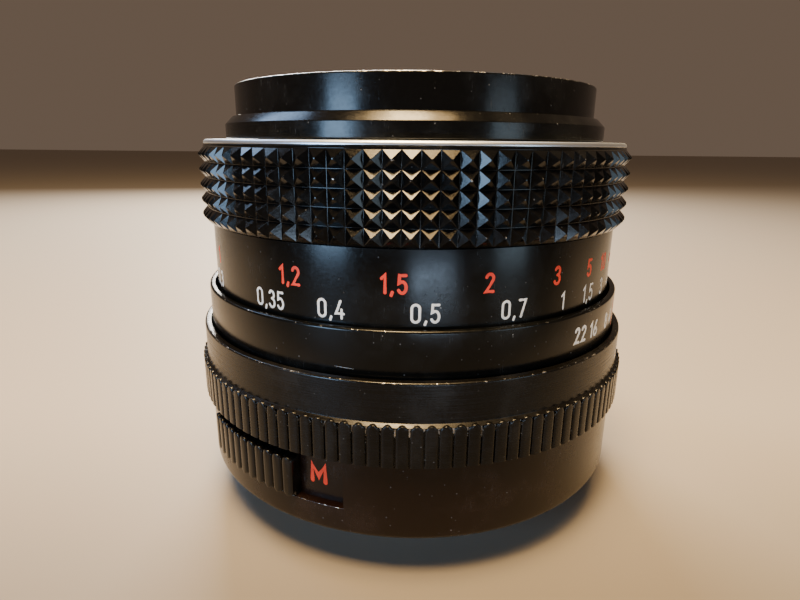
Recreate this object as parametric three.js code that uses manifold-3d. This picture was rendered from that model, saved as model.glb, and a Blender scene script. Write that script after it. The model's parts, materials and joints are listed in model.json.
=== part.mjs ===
// A 50 mm f/1.8 prime lens with an M42 screw mount, standing on its mount, all sizes in millimetres.
// +Z runs along the optical axis from the mount to the front, and z = 0 is the rear end of the mount thread.
// An angle called "phi" is in degrees about +Z, counted from the -Y side towards +X.
import * as THREE from "three";
import { mergeGeometries, mergeVertices } from "three/addons/utils/BufferGeometryUtils.js";
import Module from "manifold-3d";

const wasm = await Module();
wasm.setup();

// ---- Driving dimensions ----
const OUTER_SEGMENTS = 48;
const INNER_SEGMENTS = 24;
const LENS_SEGMENTS = 24;

// Levels of the fixed and turning rings, from the mount up
const FLANGE_Z = 5;
const HOUSING_BOTTOM_Z = 5.5;
const HOUSING_TOP_Z = 15.2;
const APERTURE_BOTTOM_Z = 15.5;
const RIB_TOP_Z = 20.8;
const APERTURE_TOP_Z = 25.6;
const DEPTH_RING_TOP_Z = 31.1;
const GRIP_BOTTOM_Z = 39.94;
const GRIP_TOP_Z = 50.1;
const TRIM_TOP_Z = 50.6;
const STEP_TOP_Z = 52.55;
const BAND_BOTTOM_Z = 53.6;
const BEVEL_WIDTH = 0.95;
const RIM_Z = 57.5;

// Radii of the outside
const THREAD_R = 21;
const HOUSING_R = 31.3;
const RIB_R = 32.2;
const RIB_ROOT_R = 31.5;
const APERTURE_BAND_R = 31.6;
const DEPTH_RING_R = 30.5;
const SCALE_R = 29.3;
const GRIP_PEAK_R = 30.6;
const GRIP_ROOT_R = 29.86;
const TRIM_R = 29.8;
const STEP_R = 26.8;
const RIM_R = 25.3;
const FILTER_MAJOR_R = 24.5;
const FILTER_MINOR_R = 24.1;

// Knurling
const GRIP_COLUMNS = 96;
const GRIP_ROWS = 5;
const RIB_COUNT = 124;

// Focusing: one turn of the grip would move the lens block by LEAD
const LEAD = 36.7;
const HELICOID_STARTS = 6;

// Auto/manual switch, in degrees of phi
const SWITCH_FROM = -58.9;
const SWITCH_RIBS = 11;
const SWITCH_RIB_PITCH = 2.87;
const SLOT_FROM = -59.4;
const SLOT_TO = -15.6;
const SLOT_BOTTOM_Z = 8.85;
const SLOT_FLOOR_R = 30.3;

// Iris
const BLADES = 6;
const BLADE_INNER_R = 10.6;
const BLADE_OUTER_R = 17.2;
const BLADE_PIVOT_R = 18.4;
const BLADE_ARM = 2.2;
const BLADE_THICKNESS = 0.15;
const BLADE_STEP = 0.3;
const BLADE_BOTTOM_Z = 24.75;

// The diaphragm pin stands opposite the index line
const INDEX_PHI = 68;
const PIN_PHI = INDEX_PHI + 180;
const PIN_CIRCLE_R = 16.6;
const PIN_R = 1;

// ---- Materials ----
const finish = (color, roughness, metalness, extra = {}) =>
  new THREE.MeshStandardMaterial({ color, roughness, metalness, ...extra });
const blackPaint = finish(0x0d0c0c, 0.3, 0.2);
const blackAnodised = finish(0x101012, 0.4, 0.5);
const blackMatte = finish(0x0a0a0a, 0.8, 0.1);
const brightMetal = finish(0xd0d2d4, 0.22, 1);
const brass = finish(0xa98a4d, 0.35, 1);
const steel = finish(0x9a9ca0, 0.3, 1);
const bladeSteel = finish(0x2a2c30, 0.45, 0.8);
const glass = finish(0xaec8d8, 0.03, 0, { transparent: true, opacity: 0.35 });

// ---- Geometry helpers ----
const radians = THREE.MathUtils.degToRad;
const toAngle = (phi) => radians(phi - 90);
const polar = (r, angle) => new THREE.Vector2(r * Math.cos(angle), r * Math.sin(angle));

// A ring or disc turned about Z from [r, z] corners, given in either direction.
function turned(corners, segments = INNER_SEGMENTS) {
  const area = corners.reduce((sum, [r, z], i) => {
    const [r2, z2] = corners[(i + 1) % corners.length];
    return sum + (r * z2 - r2 * z);
  }, 0);
  const ordered = area > 0 ? [...corners] : [...corners].reverse();
  const onAxis = ordered.findIndex(([r], i) => r === 0 && ordered.at(i - 1)[0] === 0);
  const start = Math.max(onAxis, 0);
  const loop = [...ordered.slice(start), ...ordered.slice(0, start)];
  if (onAxis < 0) loop.push(loop[0]);
  const points = loop.map(([r, z]) => new THREE.Vector2(r, z));
  return new THREE.LatheGeometry(points, segments).rotateX(Math.PI / 2);
}

// An outline in the XY plane, raised from z0 to z1.
function raised(points, z0, z1) {
  const settings = { depth: z1 - z0, bevelEnabled: false, curveSegments: 8 };
  const shape = points instanceof THREE.Shape ? points : new THREE.Shape(points);
  return new THREE.ExtrudeGeometry(shape, settings).translate(0, 0, z0);
}

const rod = (r, z0, z1, sides = 12) =>
  new THREE.CylinderGeometry(r, r, z1 - z0, sides).rotateX(Math.PI / 2).translate(0, 0, (z0 + z1) / 2);

// A rod along the radius at phi, from r0 to r1, at height z.
const radialRod = (r, r0, r1, z, phi, sides = 10) =>
  rod(r, r0, r1, sides).rotateY(Math.PI / 2).translate(0, 0, z).rotateZ(toAngle(phi));

const block = (width, depth, height, x, y, z) => new THREE.BoxGeometry(width, depth, height).translate(x, y, z);

// Moves a geometry made on the X axis to the angle phi.
const atPhi = (geometry, phi) => geometry.rotateZ(toAngle(phi));

function solid(geometry) {
  const bare = new THREE.BufferGeometry().setAttribute("position", geometry.getAttribute("position"));
  if (geometry.index) bare.setIndex(geometry.index);
  const merged = mergeVertices(bare, 1e-4);
  return new wasm.Manifold(
    new wasm.Mesh({
      numProp: 3,
      vertProperties: new Float32Array(merged.attributes.position.array),
      triVerts: new Uint32Array(merged.index.array),
    }),
  );
}

function geometryOf(manifold) {
  const { vertProperties, triVerts } = manifold.getMesh();
  return new THREE.BufferGeometry()
    .setAttribute("position", new THREE.BufferAttribute(new Float32Array(vertProperties), 3))
    .setIndex(new THREE.BufferAttribute(new Uint32Array(triVerts), 1));
}

const cut = (geometry, ...tools) =>
  geometryOf(tools.reduce((made, tool) => made.subtract(solid(tool)), solid(geometry)));
const join = (geometry, ...others) =>
  geometryOf(others.reduce((made, other) => made.add(solid(other)), solid(geometry)));

const lens = new THREE.Group();
function add(name, geometry, material) {
  const mesh = new THREE.Mesh(geometry, material);
  mesh.name = name;
  lens.add(mesh);
}
const each = (count, make) => Array.from({ length: count }, (_, i) => make(i));

// ---- Shapes used by several parts ----

// A block that follows the ring: r0 to r1, phi0 to phi1, z0 to z1.
function arcBlock(r0, r1, phi0, phi1, z0, z1, steps = 8) {
  const arc = (r, from, to) =>
    each(steps + 1, (i) => polar(r, toAngle(from + ((to - from) * i) / steps)));
  return raised([...arc(r0, phi1, phi0), ...arc(r1, phi0, phi1)], z0, z1);
}

// The zigzag of a thread's wall between two levels, as [r, z] corners going down.
function threadZigzag(crest, root, top, pitch, count) {
  return each(count, (i) => [
    [crest, top - i * pitch],
    [root, top - (i + 0.5) * pitch],
  ]).flat();
}

// One thread ridge of a multi-start helicoid, from buried radius to crest radius.
function helixRidge(buriedR, crestR, startZ, endZ, baseWidth, crestWidth, phase) {
  const stepAngle = (2 * Math.PI) / INNER_SEGMENTS;
  const steps = Math.ceil((((endZ - startZ) / LEAD) * 2 * Math.PI) / stepAngle);
  const positions = [];
  for (let i = 0; i <= steps; i++) {
    const angle = phase + i * stepAngle;
    const z = startZ + (LEAD * i * stepAngle) / (2 * Math.PI);
    const corner = (r, dz) => positions.push(r * Math.cos(angle), r * Math.sin(angle), z + dz);
    corner(buriedR, -baseWidth / 2);
    corner(buriedR, baseWidth / 2);
    corner(crestR, crestWidth / 2);
    corner(crestR, -crestWidth / 2);
  }
  const outwards = crestR > buriedR;
  const index = [];
  const quad = (a, b, c, d) => index.push(...(outwards ? [a, b, c, a, c, d] : [a, c, b, a, d, c]));
  for (let i = 0; i < steps; i++) {
    const here = 4 * i;
    const next = here + 4;
    for (let k = 0; k < 4; k++) quad(here + k, here + ((k + 1) % 4), next + ((k + 1) % 4), next + k);
  }
  quad(3, 2, 1, 0);
  const last = 4 * steps;
  quad(last, last + 1, last + 2, last + 3);
  return new THREE.BufferGeometry()
    .setAttribute("position", new THREE.BufferAttribute(new Float32Array(positions), 3))
    .setIndex(index);
}

// The ridges of a helicoid between z0 and z1, cut square at both ends.
function helicoidRidges(buriedR, crestR, z0, z1, baseWidth, crestWidth, shift) {
  const overrun = 4;
  const ridges = each(HELICOID_STARTS, (i) =>
    solid(
      helixRidge(
        buriedR, crestR, z0 - overrun + shift, z1 + overrun + shift,
        baseWidth, crestWidth, (i / HELICOID_STARTS) * 2 * Math.PI,
      ),
    ),
  );
  const range = solid(turned([[0, z0], [40, z0], [40, z1], [0, z1]], 12));
  return ridges.map((ridge) => geometryOf(ridge.intersect(range)));
}

// A coil spring along Z about the origin.
function coil(radius, wire, z0, z1, turns, stepsPerTurn = 8, sides = 5) {
  const curve = new (class extends THREE.Curve {
    getPoint(t, target = new THREE.Vector3()) {
      const angle = t * turns * 2 * Math.PI;
      return target.set(radius * Math.cos(angle), radius * Math.sin(angle), z0 + (z1 - z0) * t);
    }
  })();
  const section = new THREE.Shape(each(sides, (i) => polar(wire, (i / sides) * 2 * Math.PI)));
  return new THREE.ExtrudeGeometry(section, { steps: turns * stepsPerTurn, extrudePath: curve });
}

// Half of a lens surface as [r, z] points from the axis outwards; curvature > 0 bulges up.
function surface(vertexZ, curvatureR, edgeR, steps = 3) {
  const sag = (r) => Math.sign(curvatureR) * (Math.abs(curvatureR) - Math.sqrt(curvatureR ** 2 - r ** 2));
  return each(steps + 1, (i) => [(edgeR * i) / steps, vertexZ - sag((edgeR * i) / steps)]);
}

function lensElement(front, back, edgeR) {
  const corners = [...surface(...back), ...(back[2] < edgeR ? [[edgeR, surface(...back).at(-1)[1]]] : [])];
  const top = [...surface(...front), ...(front[2] < edgeR ? [[edgeR, surface(...front).at(-1)[1]]] : [])];
  return turned([...corners, ...top.reverse()], LENS_SEGMENTS);
}

// ---- Mount ----
const FLANGE_R = 27;
const FLANGE_TOP_Z = 7.6;
const THREAD_BORE_R = 19.2;
const MOUNT_SCREW_CIRCLE_R = 24.3;
const mountScrewPhis = [8, 128, 248];

function mountThreadRing() {
  const ring = turned(
    [
      [THREAD_BORE_R, 0], [THREAD_R - 0.6, 0], ...threadZigzag(THREAD_R, THREAD_R - 0.6, 3.9, 1, 3).reverse(),
      [THREAD_R - 0.6, 4.4], [THREAD_R + 0.05, 4.4], [THREAD_R + 0.05, FLANGE_Z], [FLANGE_R, FLANGE_Z],
      [FLANGE_R, FLANGE_TOP_Z], [THREAD_BORE_R, FLANGE_TOP_Z],
    ],
    INNER_SEGMENTS,
  );
  const holes = mountScrewPhis.map((phi) =>
    atPhi(rod(1.6, FLANGE_Z - 1, FLANGE_TOP_Z + 1, 10).translate(MOUNT_SCREW_CIRCLE_R, 0, 0), phi),
  );
  return cut(ring, ...holes);
}

function mountScrew(phi) {
  const head = rod(1.3, FLANGE_Z + 0.2, FLANGE_TOP_Z - 0.4, 10);
  const slot = block(4, 0.5, 0.8, 0, 0, FLANGE_Z + 0.2);
  return atPhi(cut(head, slot).translate(MOUNT_SCREW_CIRCLE_R, 0, 0), phi);
}

// ---- Fixed housing ----
const HOUSING_BORE_R = 28.4;
const SEAT_R = 29.55;
const SEAT_TOP_Z = 17.4;
const FLOOR_Z = 7.7;
const FLOOR_TOP_Z = 10.2;
const FLOOR_BORE_R = 22.7;
const CLICK_PHI = 112;
const CLICK_CIRCLE_R = 30.45;

function rearHousing() {
  const shell = turned(
    [
      [FLANGE_R + 0.2, HOUSING_BOTTOM_Z], [HOUSING_R - 0.5, HOUSING_BOTTOM_Z], [HOUSING_R, HOUSING_BOTTOM_Z + 0.5],
      [HOUSING_R, HOUSING_TOP_Z], [SEAT_R, HOUSING_TOP_Z], [SEAT_R, SEAT_TOP_Z], [HOUSING_BORE_R, SEAT_TOP_Z],
      [HOUSING_BORE_R, FLOOR_TOP_Z], [FLOOR_BORE_R, FLOOR_TOP_Z], [FLOOR_BORE_R, FLOOR_Z], [FLANGE_R + 0.2, FLOOR_Z],
    ],
    OUTER_SEGMENTS,
  );
  const slot = arcBlock(SLOT_FLOOR_R, HOUSING_R + 1, SLOT_FROM, SLOT_TO, SLOT_BOTTOM_Z, HOUSING_TOP_Z + 1);
  const clickHole = atPhi(rod(0.75, 11, HOUSING_TOP_Z + 1, 10).translate(CLICK_CIRCLE_R, 0, 0), CLICK_PHI);
  return cut(shell, slot, clickHole);
}

function depthOfFieldRing() {
  const innerR = SEAT_R + 0.1;
  const bottomZ = HOUSING_TOP_Z + 0.4;
  return turned(
    [
      [innerR, bottomZ], [DEPTH_RING_R - 0.15, bottomZ], [DEPTH_RING_R - 0.15, 24.6], [DEPTH_RING_R, 24.9],
      [DEPTH_RING_R, DEPTH_RING_TOP_Z - 0.25], [DEPTH_RING_R - 0.3, DEPTH_RING_TOP_Z],
      [innerR + 0.15, DEPTH_RING_TOP_Z], [innerR, DEPTH_RING_TOP_Z - 0.3],
    ],
    OUTER_SEGMENTS,
  );
}

// Eight click notches for f/1.8, 2.8, 4, 5.6, 8, 11, 16 and 22 are cut in the ring's lower face.
const STOP_PITCH = 9;
const STOPS = 8;

function apertureRing() {
  const pitch = (2 * Math.PI) / RIB_COUNT;
  const outline = each(RIB_COUNT, (i) => [
    polar(RIB_ROOT_R, (i - 0.5) * pitch),
    polar(RIB_R, i * pitch),
  ]).flat();
  const shape = new THREE.Shape(outline);
  const boreR = 30.6;
  shape.holes.push(new THREE.Path(each(OUTER_SEGMENTS, (i) => polar(boreR, (-i * 2 * Math.PI) / OUTER_SEGMENTS))));
  const ribs = raised(shape, APERTURE_BOTTOM_Z, RIB_TOP_Z);
  const band = turned(
    [
      [boreR, RIB_TOP_Z - 0.1], [RIB_ROOT_R - 0.2, RIB_TOP_Z - 0.1], [APERTURE_BAND_R, RIB_TOP_Z + 0.3],
      [APERTURE_BAND_R, APERTURE_TOP_Z - 0.2], [APERTURE_BAND_R - 0.25, APERTURE_TOP_Z],
      [31, APERTURE_TOP_Z], [boreR, APERTURE_TOP_Z - 0.8],
    ],
    OUTER_SEGMENTS,
  );
  const notches = each(STOPS, (i) =>
    atPhi(
      block(3, 0.6, 0.6, 30.9, 0, 0).applyMatrix4(
        new THREE.Matrix4().makeTranslation(0, 0, APERTURE_BOTTOM_Z).multiply(
          new THREE.Matrix4().makeTranslation(30.9, 0, 0)
            .multiply(new THREE.Matrix4().makeRotationX(Math.PI / 4))
            .multiply(new THREE.Matrix4().makeTranslation(-30.9, 0, 0)),
        ),
      ),
      CLICK_PHI + i * STOP_PITCH,
    ),
  );
  return cut(join(ribs, band), ...notches);
}

function clickBall() {
  const ball = new THREE.SphereGeometry(0.6, 10, 6).rotateX(Math.PI / 2);
  return atPhi(ball.translate(CLICK_CIRCLE_R, 0, HOUSING_TOP_Z - 0.35), CLICK_PHI);
}

const clickSpring = () =>
  atPhi(coil(0.4, 0.12, 11.3, 13.9, 4, 6, 4).translate(CLICK_CIRCLE_R, 0, 0), CLICK_PHI);

function autoManualSwitch() {
  const span = SWITCH_RIBS * SWITCH_RIB_PITCH;
  const innerR = SLOT_FLOOR_R + 0.15;
  const outer = each(SWITCH_RIBS, (i) => {
    const middle = SWITCH_FROM + (i + 0.5) * SWITCH_RIB_PITCH;
    return [-0.5, -0.25, 0.25].map((share) =>
      polar(share === -0.5 ? 31.45 : 32, toAngle(middle + share * SWITCH_RIB_PITCH)),
    );
  }).flat();
  outer.push(polar(31.45, toAngle(SWITCH_FROM + span)));
  const inner = each(9, (i) => polar(innerR, toAngle(SWITCH_FROM + (span * (8 - i)) / 8)));
  return raised([...outer, ...inner], SLOT_BOTTOM_Z + 0.1, 14.35);
}

// ---- Diaphragm pin, pushed in by the camera ----
const PIN_TIP_Z = 0.4;
const COLLAR_Z = 12.2;
const BRACKET_Z = 18.1;

const pinPlace = (geometry) => atPhi(geometry.translate(PIN_CIRCLE_R, 0, 0), PIN_PHI);

function rearCoverPlate() {
  const plate = turned([[14.5, 7.7], [22.6, 7.7], [22.6, 8.5], [14.5, 8.5]], INNER_SEGMENTS);
  return cut(plate, pinPlace(rod(PIN_R + 0.2, 7, 9, 12)));
}

const pinBush = () =>
  pinPlace(turned([[PIN_R + 0.15, 8.6], [1.9, 8.6], [1.9, 12], [PIN_R + 0.15, 12]], 12));

const diaphragmPin = () =>
  pinPlace(
    turned(
      [
        [0, PIN_TIP_Z], [0.6, PIN_TIP_Z], [PIN_R, PIN_TIP_Z + 0.4], [PIN_R, COLLAR_Z], [1.7, COLLAR_Z],
        [1.7, COLLAR_Z + 0.6], [0.6, COLLAR_Z + 0.6], [0.6, 17.6], [0, 17.6],
      ],
      12,
    ),
  );

const pinSpring = () => pinPlace(coil(1.1, 0.16, COLLAR_Z + 0.85, BRACKET_Z - 0.25, 4, 8, 5));

function pinBracket() {
  const post = block(1, 3, BRACKET_Z + 1 - 8.6, 20.8, 0, (BRACKET_Z + 1 + 8.6) / 2);
  const arm = block(6.4, 3, 1, 18.1, 0, BRACKET_Z + 0.5);
  const hole = rod(0.9, BRACKET_Z - 1, BRACKET_Z + 2, 10).translate(PIN_CIRCLE_R, 0, 0);
  return atPhi(cut(join(post, arm), hole), PIN_PHI);
}

// ---- Focusing helicoid ----
const GUIDE_PHIS = [0, 180];

function fixedHelicoid() {
  const tube = turned([
    [25.6, 10.3], [28.2, 10.3], [28.2, 12.3], [28, 12.3], [28, 38], [27.1, 38], [27.1, 12.3], [25.6, 12.3],
  ]);
  return join(tube, ...helicoidRidges(27.5, 26.35, 26, 37.6, 3, 2.2, LEAD / HELICOID_STARTS / 2));
}

function rotatingHelicoid() {
  const tube = turned([
    [24.7, 19], [26, 19], [26, 44], [28.1, 44], [28.1, 46.5], [24.7, 46.5],
  ]);
  const threaded = join(tube, ...helicoidRidges(25.5, 26.7, 19.6, 36, 3, 2.2, 0));
  return cut(threaded, ...clampPhis.map((phi) => radialRod(0.8, 26, 30, CLAMP_Z, phi)));
}

const CLAMP_Z = 45.3;
const clampPhis = [30, 150, 270];
const clampScrew = (phi) => {
  const screw = rod(0.65, 26.3, 28.35, 10);
  const slot = block(0.4, 3, 0.5, 0, 0, 28.35);
  return cut(screw, slot).rotateY(Math.PI / 2).translate(0, 0, CLAMP_Z).rotateZ(toAngle(phi));
};

function distanceScaleBarrel() {
  const barrel = turned(
    [
      [28.3, 18.2], [SCALE_R, 18.2], [SCALE_R, GRIP_BOTTOM_Z - 0.2], [28.5, GRIP_BOTTOM_Z - 0.2],
      [28.5, 49.2], [25.2, 49.2], [25.2, 47.4], [28.3, 47.4],
    ],
    OUTER_SEGMENTS,
  );
  return cut(barrel, ...clampPhis.map((phi) => radialRod(0.8, 27.5, 30, CLAMP_Z, phi)));
}

// Rows of square pyramids round the grip.
function focusGripRing() {
  const rowPitch = (GRIP_TOP_Z - 0.36 - GRIP_BOTTOM_Z) / GRIP_ROWS;
  const columnAngle = (2 * Math.PI) / GRIP_COLUMNS;
  const positions = [];
  const index = [];
  const vertex = (r, column, z) => {
    const angle = column * columnAngle;
    return positions.push(r * Math.cos(angle), r * Math.sin(angle), z) / 3 - 1;
  };
  const circle = (r, z) => each(GRIP_COLUMNS, (i) => vertex(r, i, z));
  const band = (lower, upper) =>
    lower.forEach((a, i) => {
      const next = (i + 1) % GRIP_COLUMNS;
      index.push(a, lower[next], upper[next], a, upper[next], upper[i]);
    });
  const innerR = 28.65;
  const innerBottom = circle(innerR, GRIP_BOTTOM_Z);
  let lower = circle(GRIP_ROOT_R, GRIP_BOTTOM_Z);
  band(innerBottom, lower);
  for (let row = 0; row < GRIP_ROWS; row++) {
    const z = GRIP_BOTTOM_Z + row * rowPitch;
    const upper = circle(GRIP_ROOT_R, z + rowPitch);
    for (let i = 0; i < GRIP_COLUMNS; i++) {
      const next = (i + 1) % GRIP_COLUMNS;
      const peak = vertex(GRIP_PEAK_R, i + 0.5, z + rowPitch / 2);
      index.push(lower[i], lower[next], peak, lower[next], upper[next], peak);
      index.push(upper[next], upper[i], peak, upper[i], lower[i], peak);
    }
    lower = upper;
  }
  const cone = circle(TRIM_R, GRIP_TOP_Z - 0.05);
  const innerTop = circle(innerR, GRIP_TOP_Z - 0.05);
  band(lower, cone);
  band(cone, innerTop);
  band(innerTop, innerBottom);
  return new THREE.BufferGeometry()
    .setAttribute("position", new THREE.BufferAttribute(new Float32Array(positions), 3))
    .setIndex(index);
}

const focusTrimRing = () =>
  turned(
    [
      [25.4, GRIP_TOP_Z], [TRIM_R - 0.1, GRIP_TOP_Z], [TRIM_R, GRIP_TOP_Z + 0.12], [TRIM_R, TRIM_TOP_Z - 0.15],
      [TRIM_R - 0.18, TRIM_TOP_Z], [25.4, TRIM_TOP_Z],
    ],
    OUTER_SEGMENTS,
  );

// ---- Lens block: everything that moves straight when focusing ----
const BLOCK_BORE_R = 22.7;
const BLOCK_R = 24.3;

function frontBarrel() {
  const sleeve = turned([
    [BLOCK_BORE_R, 12], [BLOCK_R, 12], [BLOCK_R, 46.65], [26.6, 46.65], [26.6, 47.2], [BLOCK_R, 47.2],
    [BLOCK_R, 53.2], [BLOCK_BORE_R, 53.2],
  ]);
  const slots = GUIDE_PHIS.map((phi) => atPhi(block(4, 3, 20, 23.5, 0, 21.5), phi));
  return cut(sleeve, ...slots);
}

const guideKey = (phi) => atPhi(block(1.2, 2.4, 16.6, 23.55, 0, 18.6), phi);

const filterRing = () =>
  turned(
    [
      [BLOCK_R + 0.1, TRIM_TOP_Z + 0.15], [STEP_R, TRIM_TOP_Z + 0.15], [STEP_R, STEP_TOP_Z],
      [STEP_R - BEVEL_WIDTH, BAND_BOTTOM_Z - 0.04], [RIM_R, BAND_BOTTOM_Z], [RIM_R, RIM_Z - 0.15], [RIM_R - 0.15, RIM_Z], [FILTER_MAJOR_R + 0.1, RIM_Z],
      ...threadZigzag(FILTER_MINOR_R, FILTER_MAJOR_R, 56.8, 0.75, 3), [FILTER_MINOR_R, 54], [BLOCK_R + 0.1, 53.9],
    ],
    OUTER_SEGMENTS,
  );

const nameRing = () =>
  turned([
    [24, 53.3], [24, 53.8], [19.6, 53], [18.4, 51.4], [18.4, 49.6], [16.9, 48.2], [16.9, 47.1], [19.2, 47.1],
    [19.2, 52.2], [22.6, 52.7], [22.6, 53.3],
  ]);

const frontCell = () =>
  turned([
    [12.2, 28.5], [22.5, 28.5], [22.5, 33], [18.6, 34.5], [18.6, 46.9], [16.15, 46.9], [16.15, 41],
    [14.15, 41], [14.15, 28.9], [12.2, 28.9],
  ]);

const notchedRing = (corners, notchR, notchZ, notchDepth) =>
  cut(turned(corners), block(2 * notchR, 1.2, notchDepth, 0, 0, notchZ));

const frontRetainingRing = () =>
  notchedRing([[14.9, 43.85], [16.05, 43.4], [16.05, 45.2], [14.9, 45.2]], 20, 45.2, 0.8);
const rearRetainingRing = () =>
  notchedRing([[11.4, 4.6], [12.5, 4.6], [12.5, 7.85], [11.4, 7.55]], 20, 4.6, 0.8);
const frontSpacer = () => turned([[13.3, 37.95], [14.05, 37.5], [14.05, 40.9], [13.3, 40.9]], LENS_SEGMENTS);
const rearSpacer = () => turned([[11.9, 9.85], [12.5, 9.75], [12.5, 15.3], [11.9, 14.9]], LENS_SEGMENTS);

const rearCell = () =>
  cut(turned([[12.6, 3], [14, 3], [14, 21.5], [22.5, 21.5], [22.5, 23.5], [12.6, 23.5]]), tailWindow(21, 24));

// Through this window the iris tail bar hangs down behind the blades.
const TAIL_PHI = 258;
const tailWindow = (z0, z1) => arcBlock(18.9, 21, TAIL_PHI - 3.6, TAIL_PHI + 7, z0, z1, 4);

// Six elements: [front vertex z, radius of curvature, edge r], the same for the back, and the outer r.
const elements = [
  [[47, 35, 16], [42.6, 90, 16], 16],
  [[42.2, 22, 14], [37, 60, 14], 14],
  [[36.85, 60, 14], [35.1, 14, 11.5], 14],
  [[18.46, -14, 10.5], [16.86, -90, 12.5], 12.5],
  [[16.7, -90, 12.5], [11.6, -21, 12.5], 12.5],
  [[11, 55, 12.5], [6.2, -45, 12.5], 12.5],
];

// ---- Iris ----
const BLADE_TIP_DEG = 118;
const BLADE_HEEL_DEG = -7;
const HOUSING_FLOOR_Z = 23.7;
const CAM_RING_Z = 26.65;
const CAM_RING_THICKNESS = 0.6;

const irisHousing = () => {
  const pan = turned([
    [10.3, HOUSING_FLOOR_Z], [22.5, HOUSING_FLOOR_Z], [22.5, 27.5], [21.9, 27.5], [21.9, 24.5], [10.3, 24.5],
  ]);
  return cut(
    pan,
    tailWindow(23, 25),
    ...each(BLADES, (i) =>
      rod(0.6, 23, 25, 8).translate(BLADE_PIVOT_R, 0, 0).rotateZ((i / BLADES) * 2 * Math.PI),
    ),
  );
};

// A crescent blade with its pivot pin below and its cam pin above; each blade lies one step higher.
function irisBlade(i) {
  const arc = (r, from, to, steps) =>
    each(steps + 1, (k) => polar(r, radians(from + ((to - from) * k) / steps)));
  const outline = [
    ...arc(BLADE_INNER_R, BLADE_HEEL_DEG, BLADE_TIP_DEG, 9),
    polar((BLADE_INNER_R + BLADE_OUTER_R) / 2, radians(BLADE_TIP_DEG + 5)),
    ...arc(BLADE_OUTER_R, BLADE_TIP_DEG, 5, 9),
    new THREE.Vector2(19, 1.1), new THREE.Vector2(21.1, 0.8), new THREE.Vector2(21.1, -0.8),
    new THREE.Vector2(18.6, -1.4),
  ];
  const z = BLADE_BOTTOM_Z + i * BLADE_STEP;
  const blade = raised(outline.reverse(), z, z + BLADE_THICKNESS);
  const pivot = rod(0.4, HOUSING_FLOOR_Z + 0.1, z + 0.1, 8).translate(BLADE_PIVOT_R, 0, 0);
  const camPin = rod(0.4, z + 0.05, CAM_RING_Z + CAM_RING_THICKNESS, 8).translate(BLADE_PIVOT_R + BLADE_ARM, 0, 0);
  return join(blade, pivot, camPin).rotateZ((i / BLADES) * 2 * Math.PI);
}

function irisCamRing() {
  const top = CAM_RING_Z + CAM_RING_THICKNESS;
  const ring = turned([[18.9, CAM_RING_Z], [21.6, CAM_RING_Z], [21.6, top], [18.9, top]]);
  const slots = each(BLADES, (i) =>
    block(1.7, 1.2, 3, 20.4, 0, CAM_RING_Z).rotateZ((i / BLADES) * 2 * Math.PI),
  );
  const tailBar = atPhi(block(1.2, 2, top - 9.8, 19.95, 0, (top + 9.4) / 2), TAIL_PHI);
  return join(cut(ring, ...slots), tailBar);
}

const irisRetainingRing = () => turned([[17.6, 27.65], [22.4, 27.65], [22.4, 28.3], [17.6, 28.3]]);

// ---- Assembly ----
add("rear_housing", rearHousing(), blackPaint);
add("mount_thread_ring", mountThreadRing(), steel);
mountScrewPhis.forEach((phi, i) => add(`mount_screw_${i + 1}`, mountScrew(phi), steel));
add("rear_cover_plate", rearCoverPlate(), blackMatte);
add("depth_of_field_ring", depthOfFieldRing(), blackPaint);
add("fixed_helicoid", fixedHelicoid(), brass);
GUIDE_PHIS.forEach((phi, i) => add(`guide_key_${i + 1}`, guideKey(phi), brass));
add("click_ball", clickBall(), steel);
add("click_spring", clickSpring(), steel);
add("pin_bush", pinBush(), brass);
add("pin_bracket", pinBracket(), steel);
add("pin_spring", pinSpring(), steel);
add("diaphragm_pin", diaphragmPin(), steel);
add("aperture_ring", apertureRing(), blackPaint);
add("auto_manual_switch", autoManualSwitch(), blackAnodised);

add("focus_grip_ring", focusGripRing(), blackPaint);
add("focus_trim_ring", focusTrimRing(), brightMetal);
add("distance_scale_barrel", distanceScaleBarrel(), blackPaint);
add("rotating_helicoid", rotatingHelicoid(), brass);
clampPhis.forEach((phi, i) => add(`clamp_screw_${i + 1}`, clampScrew(phi), steel));

add("front_barrel", frontBarrel(), blackAnodised);
add("filter_ring", filterRing(), blackAnodised);
add("name_ring", nameRing(), blackMatte);
add("front_cell", frontCell(), blackMatte);
add("front_retaining_ring", frontRetainingRing(), blackAnodised);
add("front_spacer", frontSpacer(), blackMatte);
add("rear_cell", rearCell(), blackMatte);
add("rear_spacer", rearSpacer(), blackMatte);
add("rear_retaining_ring", rearRetainingRing(), blackAnodised);
elements.forEach(([front, back, edgeR], i) => add(`lens_element_${i + 1}`, lensElement(front, back, edgeR), glass));

add("iris_housing", irisHousing(), blackMatte);
each(BLADES, (i) => add(`iris_blade_${i + 1}`, irisBlade(i), bladeSteel));
add("iris_cam_ring", irisCamRing(), brass);
add("iris_retaining_ring", irisRetainingRing(), blackMatte);

export default lens;
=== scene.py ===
"""Looks of a 50 mm screw-mount prime lens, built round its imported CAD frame.

Every round part is turned again here at full smoothness from a short profile, the grip, ribs and switch
are cut tooth by tooth, and the scales are engraved glyph by glyph. Lengths are in millimetres until a
mesh is made, and an angle "phi" is in degrees about +Z, counted from -Y towards +X, so that phi = 0
faces the camera.
"""

import json
import math

import bmesh
import bpy
from mathutils import Matrix, Vector


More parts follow.
